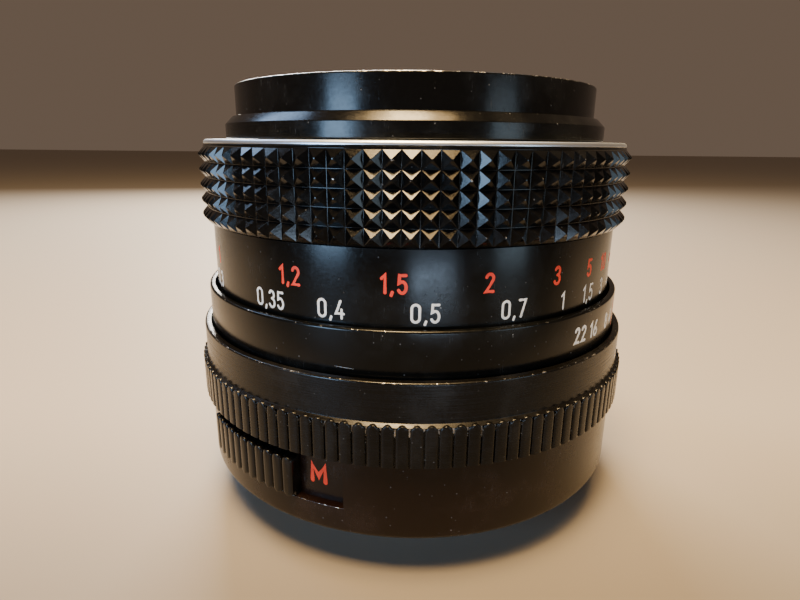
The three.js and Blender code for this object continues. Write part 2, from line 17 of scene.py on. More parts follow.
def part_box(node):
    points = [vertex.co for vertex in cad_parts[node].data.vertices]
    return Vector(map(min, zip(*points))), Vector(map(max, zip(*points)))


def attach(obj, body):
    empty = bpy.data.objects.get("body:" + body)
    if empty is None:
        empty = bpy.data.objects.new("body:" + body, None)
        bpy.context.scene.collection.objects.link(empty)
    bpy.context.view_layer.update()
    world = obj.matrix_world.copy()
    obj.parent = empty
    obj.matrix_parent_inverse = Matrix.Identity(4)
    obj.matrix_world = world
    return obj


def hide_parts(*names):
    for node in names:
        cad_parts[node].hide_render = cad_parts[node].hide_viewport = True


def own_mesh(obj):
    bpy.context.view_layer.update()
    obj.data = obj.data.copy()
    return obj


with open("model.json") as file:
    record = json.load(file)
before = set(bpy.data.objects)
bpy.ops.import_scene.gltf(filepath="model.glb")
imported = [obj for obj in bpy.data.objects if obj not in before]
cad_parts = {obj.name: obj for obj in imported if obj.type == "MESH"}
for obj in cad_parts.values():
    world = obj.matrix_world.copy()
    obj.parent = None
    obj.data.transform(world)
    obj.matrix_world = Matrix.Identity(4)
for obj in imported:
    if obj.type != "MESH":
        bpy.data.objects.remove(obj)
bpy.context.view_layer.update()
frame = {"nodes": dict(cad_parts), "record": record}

MM = 0.001
ROUND = 288
ARC_STEPS = 6

# ---- Sizes: outer radius, lowest and highest z of the CAD nodes, and what follows from them ----


def extent(node):
    """A ring's outer radius, lowest z and highest z, in millimetres."""
    low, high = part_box(node)
    return high[0] / MM, low[2] / MM, high[2] / MM


STEP_R, FILTER_BOTTOM_Z, RIM_Z = extent("filter_ring")
TRIM_R, TRIM_BOTTOM_Z, TRIM_TOP_Z = extent("focus_trim_ring")
GRIP_R, GRIP_BOTTOM_Z, GRIP_TOP_Z = extent("focus_grip_ring")
SCALE_R, SCALE_BOTTOM_Z, SCALE_TOP_Z = extent("distance_scale_barrel")
DEPTH_R, DEPTH_BOTTOM_Z, DEPTH_TOP_Z = extent("depth_of_field_ring")
RIB_R, APERTURE_BOTTOM_Z, APERTURE_TOP_Z = extent("aperture_ring")
HOUSING_R, HOUSING_BOTTOM_Z, HOUSING_SEAT_Z = extent("rear_housing")
FLANGE_R, MOUNT_BOTTOM_Z, FLANGE_TOP_Z = extent("mount_thread_ring")
SWITCH_BOTTOM_Z, SWITCH_TOP_Z = extent("auto_manual_switch")[1:]

RIM_R = STEP_R - 1.5
STEP_TOP_Z = FILTER_BOTTOM_Z + 1.8
BAND_BOTTOM_Z = STEP_TOP_Z + 1.05
BAND_R = RIB_R - 0.6
RIB_TOP_Z = APERTURE_BOTTOM_Z + 5.3
HOUSING_TOP_Z = APERTURE_BOTTOM_Z - 0.3
FLANGE_Z = FLANGE_TOP_Z - 2.6

# ---- Mesh helpers ----


def at(r, phi, z):
    """The point at radius r, angle phi and height z."""
    a = math.radians(phi)
    return (r * math.sin(a), -r * math.cos(a), z)


def even(count):
    """Angles spaced evenly round the axis."""
    return [360.0 * i / count for i in range(count)]


def closed_mesh(name, verts, faces):
    """A mesh from points in millimetres, with its faces turned outwards."""
    mesh = bpy.data.meshes.new(name)
    mesh.from_pydata([(x * MM, y * MM, z * MM) for x, y, z in verts], [], faces)
    shell = bmesh.new()
    shell.from_mesh(mesh)
    bmesh.ops.recalc_face_normals(shell, faces=shell.faces)
    shell.to_mesh(mesh)
    shell.free()
    return mesh


def make(name, body, slot, verts, faces, wear=None, replaces=(), smooth_deg=35.0):
    """Makes a closed mesh from points in millimetres and ties it to the frame."""
    mesh = closed_mesh(name, verts, faces)
    layer = mesh.attributes.new("wear", "FLOAT", "POINT")
    layer.data.foreach_set("value", wear or [0.0] * len(verts))
    mesh.polygons.foreach_set("use_smooth", [True] * len(mesh.polygons))
    mesh.set_sharp_from_angle(angle=math.radians(smooth_deg))
    mesh.materials.append(MATERIALS[slot])
    piece = bpy.data.objects.new(name, mesh)
    bpy.context.collection.objects.link(piece)
    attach(piece, body)
    if replaces:
        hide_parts(*replaces)
    return piece


def turned(name, body, slot, profile, replaces=(), phis=None, smooth_deg=35.0, axis=(0.0, 0.0)):
    """Turns a closed profile of (r, z[, wear]) points about a vertical axis; it may be a function of phi."""
    profile_at = profile if callable(profile) else lambda phi: profile
    phis = phis or even(ROUND)
    columns = [profile_at(phi) for phi in phis]
    verts, wear, rows = [], [], []
    for k, point in enumerate(columns[0]):
        if point[0] == 0:
            rows.append([len(verts)] * len(phis))
            verts.append((axis[0], axis[1], point[1]))
            wear.append(0.0)
            continue
        rows.append(list(range(len(verts), len(verts) + len(phis))))
        for phi, column in zip(phis, columns):
            x, y, z = at(column[k][0], phi, column[k][1])
            verts.append((x + axis[0], y + axis[1], z))
            wear.append(column[k][2] if len(column[k]) > 2 else 0.0)
    faces = []
    for low, high in zip(rows, rows[1:] + rows[:1]):
        if low[0] == low[1] and high[0] == high[1]:
            continue
        for i in range(len(phis)):
            j = (i + 1) % len(phis)
            corners = [low[i], low[j], high[j], high[i]]
            faces.append([c for n, c in enumerate(corners) if c not in corners[:n]])
    return make(name, body, slot, verts, faces, wear, replaces, smooth_deg)


def tube_faces(count, sides, base=0):
    """The faces of a closed tube whose count + 1 sections follow each other, with the same sides in each."""
    faces = []
    for low in range(base, base + count * sides, sides):
        high = low + sides
        faces += [(low + k, low + (k + 1) % sides, high + (k + 1) % sides, high + k) for k in range(sides)]
    last = base + count * sides
    return faces + [tuple(range(base, base + sides)), tuple(range(last, last + sides))]


# The most of a side that the rounding of one of its corners takes up.
CORNER_SHARE = 0.45


def rounded(corners):
    """A closed profile from (r, z, radius[, wear]) corners, each rounded by its radius."""
    points = []
    count = len(corners)
    for i, (r, z, radius, *worn) in enumerate(corners):
        strength = worn[0] if worn else 0.0
        if not radius:
            points.append((r, z, strength))
            continue
        corner = Vector((r, z))
        sides = []
        for other in (corners[i - 1], corners[(i + 1) % count]):
            way = Vector(other[:2]) - corner
            sides.append(way.normalized() * min(radius, way.length * CORNER_SHARE))
        for step in range(ARC_STEPS + 1):
            t = step / ARC_STEPS
            p = corner + sides[0] * (1 - t) ** 2 + sides[1] * t ** 2
            points.append((p.x, p.y, strength * 4 * t * (1 - t)))
    return points


ROD_CHAMFER = 0.14


def rod(verts, faces, place, radius, z0, z1, sides=32):
    """Adds an upright rod at (x, y), with a small chamfer at its lower end."""
    base = len(verts)
    chamfer = ROD_CHAMFER * radius
    for r, z in ((radius - chamfer, z0), (radius, z0 + chamfer), (radius, z1)):
        verts.extend((place[0] + r * math.cos(math.tau * i / sides),
                      place[1] + r * math.sin(math.tau * i / sides), z) for i in range(sides))
    faces.extend(tube_faces(2, sides, base))


def cut_away(piece, verts, faces):
    """Cuts a closed shape, given in millimetres, out of a piece."""
    tool = bpy.data.objects.new("tool", closed_mesh("tool", verts, faces))
    bpy.context.collection.objects.link(tool)
    cutter = piece.modifiers.new("cut", "BOOLEAN")
    cutter.object = tool
    cutter.solver = "EXACT"
    bpy.context.view_layer.update()
    seen = piece.evaluated_get(bpy.context.evaluated_depsgraph_get())
    piece.data = bpy.data.meshes.new_from_object(seen)
    piece.modifiers.remove(cutter)
    bpy.data.objects.remove(tool)


def drill(piece, place, radius, z0, z1):
    """Cuts an upright hole at (x, y) through a piece."""
    verts, faces = [], []
    rod(verts, faces, place, radius, z0, z1)
    cut_away(piece, verts, faces)


ROWS_PER_PITCH = 8
THREAD_FLANK = 5 / 12
CREST_WEAR = 0.35


def thread_rows(r_crest, depth, z0, z1, pitch, phi):
    """A helical V thread's wall at phi, from z0 to z1; a negative depth cuts into a ring's bore."""
    rows = []
    count = round(abs(z1 - z0) / pitch * ROWS_PER_PITCH)
    for i in range(count + 1):
        z = z0 + (z1 - z0) * i / count
        turn = (z / pitch - phi / 360.0) % 1.0
        sunk = min(1.0, abs(turn - 0.5) / THREAD_FLANK)
        rows.append((r_crest - depth * sunk, z, CREST_WEAR * (1 - sunk)))
    return rows


# ---- Materials ----


class Nodes:
    """A short way to write a material's node tree."""

    def __init__(self, name):
        self.material = bpy.data.materials.new(name)
        self.material.use_nodes = True
        self.tree = self.material.node_tree
        self.shader = self.tree.nodes["Principled BSDF"]

    def link(self, value, socket):
        if isinstance(value, bpy.types.NodeSocket):
            self.tree.links.new(value, socket)
        elif value is not None:
            socket.default_value = value

    def add(self, kind, inputs=(), **settings):
        node = self.tree.nodes.new(kind)
        for key, value in settings.items():
            setattr(node, key, value)
        for socket, value in dict(inputs).items():
            self.link(value, node.inputs[socket])
        return node

    def math(self, operation, a, b=None, clamp=False):
        node = self.add("ShaderNodeMath", {0: a, 1: b}, operation=operation, use_clamp=clamp)
        return node.outputs[0]

    def noise(self, vector, scale, detail=2.0, rough=0.5):
        inputs = {"Vector": vector, "Scale": scale, "Detail": detail, "Roughness": rough}
        return self.add("ShaderNodeTexNoise", inputs).outputs["Fac"]

    def ramp(self, value, low, high):
        """0 below low, 1 above high."""
        inputs = {"Value": value, "From Min": low, "From Max": high}
        return self.add("ShaderNodeMapRange", inputs, interpolation_type="SMOOTHSTEP").outputs[0]

    def mix(self, factor, a, b):
        node = self.add("ShaderNodeMix", {0: factor, 6: a, 7: b}, data_type="RGBA")
        return node.outputs[2]

    def blend(self, factor, a, b):
        node = self.add("ShaderNodeMix", {0: factor, 2: a, 3: b}, data_type="FLOAT")
        return node.outputs[0]

    def position(self):
        return self.add("ShaderNodeTexCoord").outputs["Object"]

    def lathe_vector(self, around, across):
        """Coordinates that vary slowly round the axis and fast along the profile, as tool marks do."""
        place = self.position()
        axes = self.add("ShaderNodeSeparateXYZ", {0: place}).outputs
        flat = self.add("ShaderNodeCombineXYZ", {0: axes[0], 1: axes[1]}).outputs[0]
        radius = self.add("ShaderNodeVectorMath", {0: flat}, operation="LENGTH").outputs["Value"]
        along = self.math("MULTIPLY", self.math("ADD", axes[2], radius), across)
        turn = self.add("ShaderNodeVectorMath", {0: flat}, operation="NORMALIZE").outputs[0]
        spread = self.add("ShaderNodeVectorMath", {0: turn, 3: around}, operation="SCALE").outputs[0]
        lift = self.add("ShaderNodeCombineXYZ", {2: along}).outputs[0]
        return self.add("ShaderNodeVectorMath", {0: spread, 1: lift}).outputs[0]

    def bump(self, height, depth_mm, strength=1.0, normal=None):
        inputs = {"Height": height, "Distance": depth_mm * MM, "Strength": strength, "Normal": normal}
        return self.add("ShaderNodeBump", inputs).outputs[0]

    def shade(self, **sockets):
        for name, value in sockets.items():
            self.link(value, self.shader.inputs[name.replace("_", " ")])
        return self.material


BARE_METAL = (0.62, 0.6, 0.57, 1.0)
SCUFF_GREY = (0.3, 0.3, 0.3, 1.0)
DUST_GREY = (0.6, 0.6, 0.6, 1.0)
ORANGE_PEEL = 0.004


def lacquer(name, colour, roughness, brush, dust, chip, scuff=0.5):
    """Black lacquer on turned metal: tool marks, orange peel, dust, scuffs, and bare metal on edges."""
    n = Nodes(name)
    place = n.position()
    marks = n.noise(n.lathe_vector(3.0, 9000.0), 1.0, 3.0, 0.7)
    cloud = n.noise(place, 170.0, 4.0, 0.6)
    grain = n.noise(place, 2600.0, 3.0, 0.6)

    # Dust specks of mixed size, thicker in the dull patches.
    specks = n.add("ShaderNodeTexVoronoi", {"Vector": place, "Scale": 2100.0}, feature="F1").outputs
    speck_size = n.add("ShaderNodeSeparateColor", {0: specks["Color"]}).outputs[0]
    speck = n.ramp(specks["Distance"], n.math("MULTIPLY", n.ramp(speck_size, 0.86, 1.0), 0.24), 0.0)
    patchy = n.ramp(cloud, 0.45, 0.7)
    dusty = n.math("MULTIPLY", n.math("MULTIPLY", speck, n.blend(patchy, 0.35, 1.0)), dust)

    # Hairline scuffs on a slant.
    slant = n.add("ShaderNodeMapping", {0: place, 2: (0.0, 0.7, 0.4), 3: (9000.0, 9000.0, 500.0)}).outputs[0]
    hairs = n.ramp(n.noise(slant, 1.0, 2.0, 0.6), 0.66, 0.74)
    scuffed = n.math("MULTIPLY", n.math("MULTIPLY", hairs, n.ramp(cloud, 0.5, 0.62)), scuff)

    # The metal shows where the mesh says that an edge is rubbed, in ragged patches.
    edge = n.add("ShaderNodeAttribute", attribute_name="wear").outputs["Fac"]
    bite = n.noise(place, 1300.0, 4.0, 0.75)
    rub = n.math("ADD", edge, n.math("MULTIPLY", n.math("SUBTRACT", bite, 0.5), 1.6))
    bare = n.ramp(rub, 1.0 - chip * 0.5, 1.12 - chip * 0.5)

    handled = n.mix(patchy, (*colour, 1.0), (*[min(1.0, c * 1.7 + 0.002) for c in colour], 1.0))
    painted = n.mix(n.math("MULTIPLY", scuffed, 0.22), handled, SCUFF_GREY)
    painted = n.mix(dusty, painted, DUST_GREY)
    rough = n.math("ADD", roughness, n.math("MULTIPLY", n.math("SUBTRACT", grain, 0.5), 0.16))
    rough = n.math("ADD", rough, n.math("MULTIPLY", n.math("SUBTRACT", marks, 0.5), 0.5 * brush))
    rough = n.math("ADD", rough, n.math("MULTIPLY", scuffed, 0.25))
    rough = n.math("ADD", rough, n.math("MULTIPLY", patchy, 0.07), clamp=True)
    relief = n.bump(grain, ORANGE_PEEL)
    relief = n.bump(marks, 0.007 * brush, normal=relief)
    relief = n.bump(hairs, 0.003 * scuff, normal=relief)
    return n.shade(
        Base_Color=n.mix(bare, painted, BARE_METAL),
        Metallic=bare,
        Roughness=n.blend(bare, rough, 0.32),
        Normal=relief,
        IOR=1.5,
        Specular_IOR_Level=0.28,
    )


def metal(name, colour, roughness, brush=1.0, stain=0.3):
    """Bare turned metal: fine tool marks, a little tarnish and handling."""
    n = Nodes(name)
    place = n.position()
    marks = n.noise(n.lathe_vector(2.0, 14000.0), 1.0, 3.0, 0.8)
    tarnish = n.ramp(n.noise(place, 260.0, 5.0, 0.65), 0.4, 0.75)
    dull = n.math("MULTIPLY", tarnish, stain)
    rough = n.math("ADD", roughness, n.math("MULTIPLY", n.math("SUBTRACT", marks, 0.4), 0.3 * brush))
    rough = n.math("ADD", rough, n.math("MULTIPLY", dull, 0.3), clamp=True)
    return n.shade(
        Base_Color=n.mix(dull, (*colour, 1.0), (*[c * 0.45 for c in colour], 1.0)),
        Metallic=1.0,
        Roughness=rough,
        Normal=n.bump(marks, 0.003 * brush),
    )


def enamel(name, colour):
    """Paint run into an engraving, a little uneven and scuffed."""
    n = Nodes(name)
    place = n.position()
    cloud = n.ramp(n.noise(place, 900.0, 4.0, 0.6), 0.35, 0.75)
    grain = n.noise(place, 5000.0, 2.0, 0.5)
    rough = n.math("ADD", 0.5, n.math("MULTIPLY", n.math("SUBTRACT", grain, 0.5), 0.3))
    return n.shade(
        Base_Color=n.mix(n.math("MULTIPLY", cloud, 0.5), (*colour, 1.0), (*[c * 0.6 for c in colour], 1.0)),
        Roughness=rough,
        Normal=n.bump(grain, 0.006),
    )


def matt_black(name):
    """The dull black inside a lens, with ring marks and dust."""
    n = Nodes(name)
    place = n.position()
    marks = n.noise(n.lathe_vector(2.0, 5000.0), 1.0, 2.0, 0.6)
    grain = n.noise(place, 3000.0, 3.0, 0.7)
    tone = n.mix(n.math("MULTIPLY", grain, 0.8), (0.006, 0.006, 0.006, 1.0), (0.016, 0.016, 0.017, 1.0))
    rough = n.math("ADD", 0.52, n.math("MULTIPLY", marks, 0.3))
    relief = n.bump(marks, 0.006, normal=n.bump(grain, 0.006))
    return n.shade(Base_Color=tone, Roughness=rough, Normal=relief)


def coated_glass(name):
    """Polished glass whose coating throws back a faint violet and amber, with a breath of dust."""
    n = Nodes(name)
    place = n.position()
    tint = n.noise(place, 90.0, 1.0)
    haze = n.ramp(n.noise(place, 2200.0, 3.0, 0.7), 0.62, 0.8)
    return n.shade(
        Base_Color=n.mix(n.ramp(tint, 0.35, 0.65), (0.9, 0.93, 1.0, 1.0), (1.0, 0.95, 0.9, 1.0)),
        Roughness=n.math("MULTIPLY", haze, 0.06),
        IOR=1.62,
        Transmission_Weight=1.0,
        Specular_Tint=(0.62, 0.5, 0.85, 1.0),
    )


MATERIALS = {
    "base_black": lacquer("base_black", (0.0075, 0.0032, 0.002), 0.22, brush=0.15, dust=0.5, chip=0.35),
    "ring_black": lacquer("ring_black", (0.0022, 0.0024, 0.0023), 0.2, brush=0.1, dust=0.6, chip=0.25),
    "aperture_black": lacquer("aperture_black", (0.0032, 0.0029, 0.0026), 0.25, brush=1.0, dust=0.3,
                              chip=0.42, scuff=0.1),
    "grip_black": lacquer("grip_black", (0.002, 0.0021, 0.0022), 0.14, brush=0.0, dust=0.3, chip=0.4),
    "front_black": lacquer("front_black", (0.0022, 0.0023, 0.0023), 0.18, brush=0.1, dust=0.4, chip=0.5),
    "switch_black": lacquer("switch_black", (0.003, 0.0025, 0.0021), 0.2, brush=0.0, dust=0.15, chip=0.1),
    "bare_aluminium": metal("bare_aluminium", (0.84, 0.91, 1.0), 0.34, brush=0.4, stain=0.08),
    "mount_steel": metal("mount_steel", (0.6, 0.59, 0.57), 0.26),
    "screw_steel": metal("screw_steel", (0.55, 0.55, 0.56), 0.3),
    "barrel_anodised": lacquer("barrel_anodised", (0.012, 0.012, 0.014), 0.4, brush=0.6, dust=0.1, chip=0.2),
    "inside_matt_black": matt_black("inside_matt_black"),
    "helicoid_brass": metal("helicoid_brass", (0.66, 0.47, 0.22), 0.3),
    "blade_steel": metal("blade_steel", (0.09, 0.095, 0.105), 0.38, stain=0.5),
    "optical_glass": coated_glass("optical_glass"),
}
WHITE = enamel("engraving_white", (1.0, 1.0, 0.97))
RED = enamel("engraving_red", (1.0, 0.05, 0.016))

for entry in frame["record"]["subparts"]:
    node = frame["nodes"][entry["node"]]
    for socket in node.material_slots:
        socket.material = MATERIALS[entry["material_slot"]]

# ---- Front: filter ring, name ring and glass ----

FILTER_BORE_R = 24.4
FILTER_MINOR_R = 24.12
FILTER_THREAD_DEPTH = 0.4
FILTER_PITCH = 0.75
FILTER_THREAD_END_Z = 54.3
BEVEL_WIDTH = 0.95


def filter_profile(phi):
    """The front ring's section: the step, its bevel, the band, the rim and the filter thread."""
    mouth_r = FILTER_BORE_R + 0.1
    outside = rounded([
        (FILTER_BORE_R, FILTER_BOTTOM_Z, 0.0), (STEP_R, FILTER_BOTTOM_Z, 0.1),
        (STEP_R, STEP_TOP_Z, 0.07, 0.2), (STEP_R - BEVEL_WIDTH, BAND_BOTTOM_Z - 0.04, 0.1),
        (RIM_R, BAND_BOTTOM_Z, 0.04), (RIM_R, RIM_Z, 0.2, 0.75), (mouth_r + 0.05, RIM_Z, 0.12, 0.6),
        (mouth_r, RIM_Z - 0.5, 0.0),
    ])
    thread = thread_rows(FILTER_MINOR_R, -FILTER_THREAD_DEPTH, RIM_Z - 0.6, FILTER_THREAD_END_Z,
                         FILTER_PITCH, phi)
    foot = [(FILTER_MINOR_R, FILTER_THREAD_END_Z - 0.25), (FILTER_BORE_R, FILTER_THREAD_END_Z - 0.35)]
    return outside + thread + foot


turned("filter_ring_turned", "lens_block", "front_black", filter_profile, ["filter_ring"])

NAME_FACE_R, NAME_FACE_Z = 23.6, 53.78
NAME_FACE_WIDTH, NAME_FACE_DROP = 3.8, 0.76
NAME_STEPS = 12
NAME_STEP_DEPTH = 0.09


def name_face():
    """The name ring's sloping face, which goes down to the glass in fine steps."""
    points = []
    for i in range(NAME_STEPS + 1):
        share = i / NAME_STEPS
        undercut = NAME_STEP_DEPTH if i % 2 else 0.0
        r = NAME_FACE_R - NAME_FACE_WIDTH * share - undercut
        points.append((r, NAME_FACE_Z - NAME_FACE_DROP * share))
    return points


turned("name_ring_turned", "lens_block", "inside_matt_black", [
    (23.95, 53.3), (23.95, 53.75), (23.7, 53.8), *name_face(),
    (19.4, 52.85), (18.5, 51.5), (18.4, 51.3), (18.4, 49.7), (18.2, 49.3), (16.95, 48.25), (16.9, 48.1),
    (16.9, 47.1), (19.2, 47.1), (19.2, 52.2), (22.6, 52.7), (22.6, 53.3),
], ["name_ring"])

turned("front_cell_turned", "lens_block", "inside_matt_black", [
    (12.2, 28.5), (22.5, 28.5), (22.5, 33), (18.6, 34.5), (18.6, 46.9), (16.15, 46.9), (16.15, 41),
    (14.15, 41), (14.15, 28.9), (12.2, 28.9),
], ["front_cell"])

turned("rear_cell_turned", "lens_block", "inside_matt_black", [
    (12.6, 3.15, 0.7), (12.75, 3.0, 0.9), (13.8, 3.0, 0.9), (14.0, 3.2, 0.9), (14.0, 21.5), (22.5, 21.5),
    (22.5, 23.5), (12.6, 23.5),
], ["rear_cell"])

turned("front_spacer_turned", "lens_block", "inside_matt_black",
       [(13.3, 37.95), (14.05, 37.5), (14.05, 40.9), (13.3, 40.9)], ["front_spacer"])

turned("rear_spacer_turned", "lens_block", "inside_matt_black",
       [(11.9, 9.85), (12.5, 9.75), (12.5, 15.3), (11.9, 14.9)], ["rear_spacer"])

NOTCH_WIDTH, NOTCH_DEPTH = 1.2, 0.5
EDGE_NUDGE = 0.01


def notched_ring(node, inner, outer, z0, z1, notch_below):
    """A retaining ring with two spanner notches, where it crosses the X axis."""
    half = math.degrees(NOTCH_WIDTH / 2 / outer)
    edges = [a + s * half + t for a in (90, 270) for s in (-1, 1) for t in (-EDGE_NUDGE, EDGE_NUDGE)]

    def section(phi):
        cut = min(abs(phi - 90), abs(phi - 270)) < half
        low = z0 + (NOTCH_DEPTH if cut and notch_below else 0.0)
        high = z1 - (NOTCH_DEPTH if cut and not notch_below else 0.0)
        return [(inner, low), (inner, high, 0.5), (outer, high, 0.5), (outer, low)]

    phis = sorted(even(ROUND) + edges)
    turned(f"{node}_turned", "lens_block", "barrel_anodised", section, [node], phis)


notched_ring("front_retaining_ring", 14.9, 16.05, 43.75, 45.2, notch_below=False)
notched_ring("rear_retaining_ring", 11.4, 12.5, 4.6, 7.5, notch_below=True)


def lens_surface(vertex_z, curve_r, edge_r, rows=14):
    """A lens face's section from the axis to its edge; a positive radius bulges to the front."""
    points = []
    for i in range(rows + 1):
        r = edge_r * i / rows
        sag = abs(curve_r) - math.sqrt(curve_r ** 2 - r ** 2)
        points.append((r, vertex_z - math.copysign(sag, curve_r)))
    return points


LENS_ROUND = 144

# Each element's front face, back face and rim radius. A face is its z on the axis, its curve's radius and
# the radius that it is ground out to.
ELEMENTS = [
    ((47.0, 35, 16), (42.6, 90, 16), 16),
    ((42.2, 22, 14), (37.0, 60, 14), 14),
    ((36.85, 60, 14), (35.1, 14, 11.5), 14),
    ((18.46, -14, 10.5), (16.86, -90, 12.5), 12.5),
    ((16.7, -90, 12.5), (11.6, -21, 12.5), 12.5),
    ((11.0, 55, 12.5), (6.2, -45, 12.5), 12.5),
]
for i, (front, back, rim_r) in enumerate(ELEMENTS, 1):
    front_face = lens_surface(*front)
    back_face = lens_surface(*back)
    rim = [(rim_r, back_face[-1][1])] if back[2] < rim_r else []
    rim += [(rim_r, front_face[-1][1])] if front[2] < rim_r else []
    turned(f"lens_element_{i}_ground", "lens_block", "optical_glass", back_face + rim + front_face[::-1],
           [f"lens_element_{i}"], even(LENS_ROUND), smooth_deg=25)

# ---- Focusing ring: bare shoulder, grip and scale barrel ----

TRIM_BORE_R = 25.4
TRIM_ROUND_R = 0.42


def trim_shoulder():
    """A quarter round from the trim ring's outside to its top."""
    turns = [math.pi / 2 * i / ARC_STEPS for i in range(ARC_STEPS + 1)]
    return [(TRIM_R - TRIM_ROUND_R * (1 - math.cos(t)), TRIM_TOP_Z - TRIM_ROUND_R * (1 - math.sin(t)))
            for t in turns]


turned("focus_trim_ring_turned", "focus_ring", "bare_aluminium", [
    (TRIM_BORE_R, TRIM_BOTTOM_Z), (TRIM_R - 0.03, TRIM_BOTTOM_Z), (TRIM_R, TRIM_BOTTOM_Z + 0.04),
    *trim_shoulder(), (TRIM_BORE_R, TRIM_TOP_Z),
], ["focus_trim_ring"])

GRIP_COLUMNS = 96
GRIP_ROWS = 5
GRIP_BORE_R = 28.65
GRIP_ROOT_R = GRIP_R - 0.74
GRIP_CONE_HEIGHT = 0.31
ROW_PITCH = (GRIP_TOP_Z - GRIP_CONE_HEIGHT - GRIP_BOTTOM_Z) / GRIP_ROWS
FOOT_INSET = 0.017
TIP_INSET = 0.46
WORN_EDGE = 0.014


def grip():
    """Rows of square pyramids, each with a narrow flat round its foot and a point worn blunt."""
    verts, wear, faces = [], [], []

    def vertex(r, column, z, worn):
        verts.append(at(r, 360.0 * column / GRIP_COLUMNS, z))
        wear.append(worn)
        return len(verts) - 1

    def square(column, row, inset, r, worn):
        low = GRIP_BOTTOM_Z + (row + inset) * ROW_PITCH
        high = GRIP_BOTTOM_Z + (row + 1 - inset) * ROW_PITCH
        return [vertex(r, column + inset, low, worn), vertex(r, column + 1 - inset, low, worn),
                vertex(r, column + 1 - inset, high, worn), vertex(r, column + inset, high, worn)]

    feet = {}
    for row in range(GRIP_ROWS):
        for column in range(GRIP_COLUMNS):
            base = square(column, row, FOOT_INSET, GRIP_ROOT_R, 0.1)
            top = square(column, row, TIP_INSET, GRIP_R, 0.62)
            feet[column, row] = base
            faces.extend((base[k], base[(k + 1) % 4], top[(k + 1) % 4], top[k]) for k in range(4))
            faces.append(tuple(top))
    for row in range(GRIP_ROWS):
        for column in range(GRIP_COLUMNS):
            here = feet[column, row]
            right = feet[(column + 1) % GRIP_COLUMNS, row]
            faces.append((here[1], right[0], right[3], here[2]))
            if row + 1 < GRIP_ROWS:
                above = feet[column, row + 1]
                above_right = feet[(column + 1) % GRIP_COLUMNS, row + 1]
                faces.append((here[3], here[2], above[1], above[0]))
                faces.append((here[2], right[3], above_right[0], above[1]))

    def seam(row, corners):
        return [feet[c, row][k] for c in range(GRIP_COLUMNS) for k in corners]

    def ring(r, z, worn):
        return [vertex(r, c + f, z, worn) for c in range(GRIP_COLUMNS) for f in (FOOT_INSET, 1 - FOOT_INSET)]

    loops = [
        seam(0, (0, 1)), ring(GRIP_ROOT_R - 0.05, GRIP_BOTTOM_Z, 0.3), ring(GRIP_BORE_R, GRIP_BOTTOM_Z, 0.0),
        ring(GRIP_BORE_R, GRIP_TOP_Z, 0.0), ring(TRIM_R - 0.06, GRIP_TOP_Z, 0.4),
        ring(TRIM_R, GRIP_TOP_Z - 0.06, 0.4), ring(GRIP_ROOT_R + 0.02, GRIP_TOP_Z - 0.25, 0.1),
        seam(GRIP_ROWS - 1, (3, 2)),
    ]
    for low, high in zip(loops, loops[1:]):
        for i in range(2 * GRIP_COLUMNS):
            j = (i + 1) % (2 * GRIP_COLUMNS)
            faces.append((low[i], low[j], high[j], high[i]))
    piece = make("focus_grip_cut", "focus_ring", "grip_black", verts, faces, wear, ["focus_grip_ring"],
                 smooth_deg=20)
    edge = piece.modifiers.new("worn_edges", "BEVEL")
    edge.width = WORN_EDGE * MM
    edge.segments = 1
    edge.angle_limit = math.radians(30)


grip()

SCALE_BORE_R = 28.3
SCALE_NECK_R = SCALE_BORE_R + 0.2
SCALE_LIP_R = 25.2
SCALE_LIP_Z = 47.4
turned("distance_scale_turned", "focus_ring", "ring_black", rounded([
    (SCALE_BORE_R, SCALE_BOTTOM_Z, 0.0), (SCALE_R, SCALE_BOTTOM_Z, 0.15),
    (SCALE_R, GRIP_BOTTOM_Z - 0.2, 0.06), (SCALE_NECK_R, GRIP_BOTTOM_Z - 0.2, 0.0),
    (SCALE_NECK_R, SCALE_TOP_Z, 0.0),
    (SCALE_LIP_R, SCALE_TOP_Z, 0.0), (SCALE_LIP_R, SCALE_LIP_Z, 0.0), (SCALE_BORE_R, SCALE_LIP_Z, 0.0),
]), ["distance_scale_barrel"])

# ---- Fixed rings: depth-of-field ring and rear housing ----

SEAT_R = 29.55
DEPTH_BORE_R = SEAT_R + 0.1
DEPTH_RELIEF = 0.15
DEPTH_RELIEF_Z = 24.6

turned("depth_of_field_turned", "body", "ring_black", rounded([
    (DEPTH_BORE_R, DEPTH_BOTTOM_Z, 0.0), (DEPTH_R - DEPTH_RELIEF, DEPTH_BOTTOM_Z, 0.1),
    (DEPTH_R - DEPTH_RELIEF, DEPTH_RELIEF_Z, 0.0), (DEPTH_R, DEPTH_RELIEF_Z + 0.3, 0.0),
    (DEPTH_R, DEPTH_TOP_Z, 0.34, 0.72), (DEPTH_BORE_R + 0.07, DEPTH_TOP_Z, 0.1, 0.6),
    (DEPTH_BORE_R, DEPTH_TOP_Z - 0.8, 0.0),
]), ["depth_of_field_ring"])

SLOT_FROM, SLOT_TO = -59.4, -15.6
SLOT_BOTTOM_Z = SWITCH_BOTTOM_Z - 0.1
SLOT_FLOOR_R = 30.3
SLOT_NUDGE = 0.004
HOUSING_FOOT_R = 27.2
HOUSING_FOOT_Z = 7.0
HOUSING_BORE_R = 28.4
FLOOR_BORE_R = 22.7
FLOOR_BOTTOM_Z = 7.7
FLOOR_TOP_Z = 10.2


def slot_lip():
    """The rubbed edge where the slot's lower side meets the housing's outside."""
    return rounded([
        (HOUSING_R, HOUSING_FOOT_Z, 0.0), (HOUSING_R, SLOT_BOTTOM_Z, 0.08, 0.85),
        (SLOT_FLOOR_R, SLOT_BOTTOM_Z, 0.0),
    ])[1:-1]


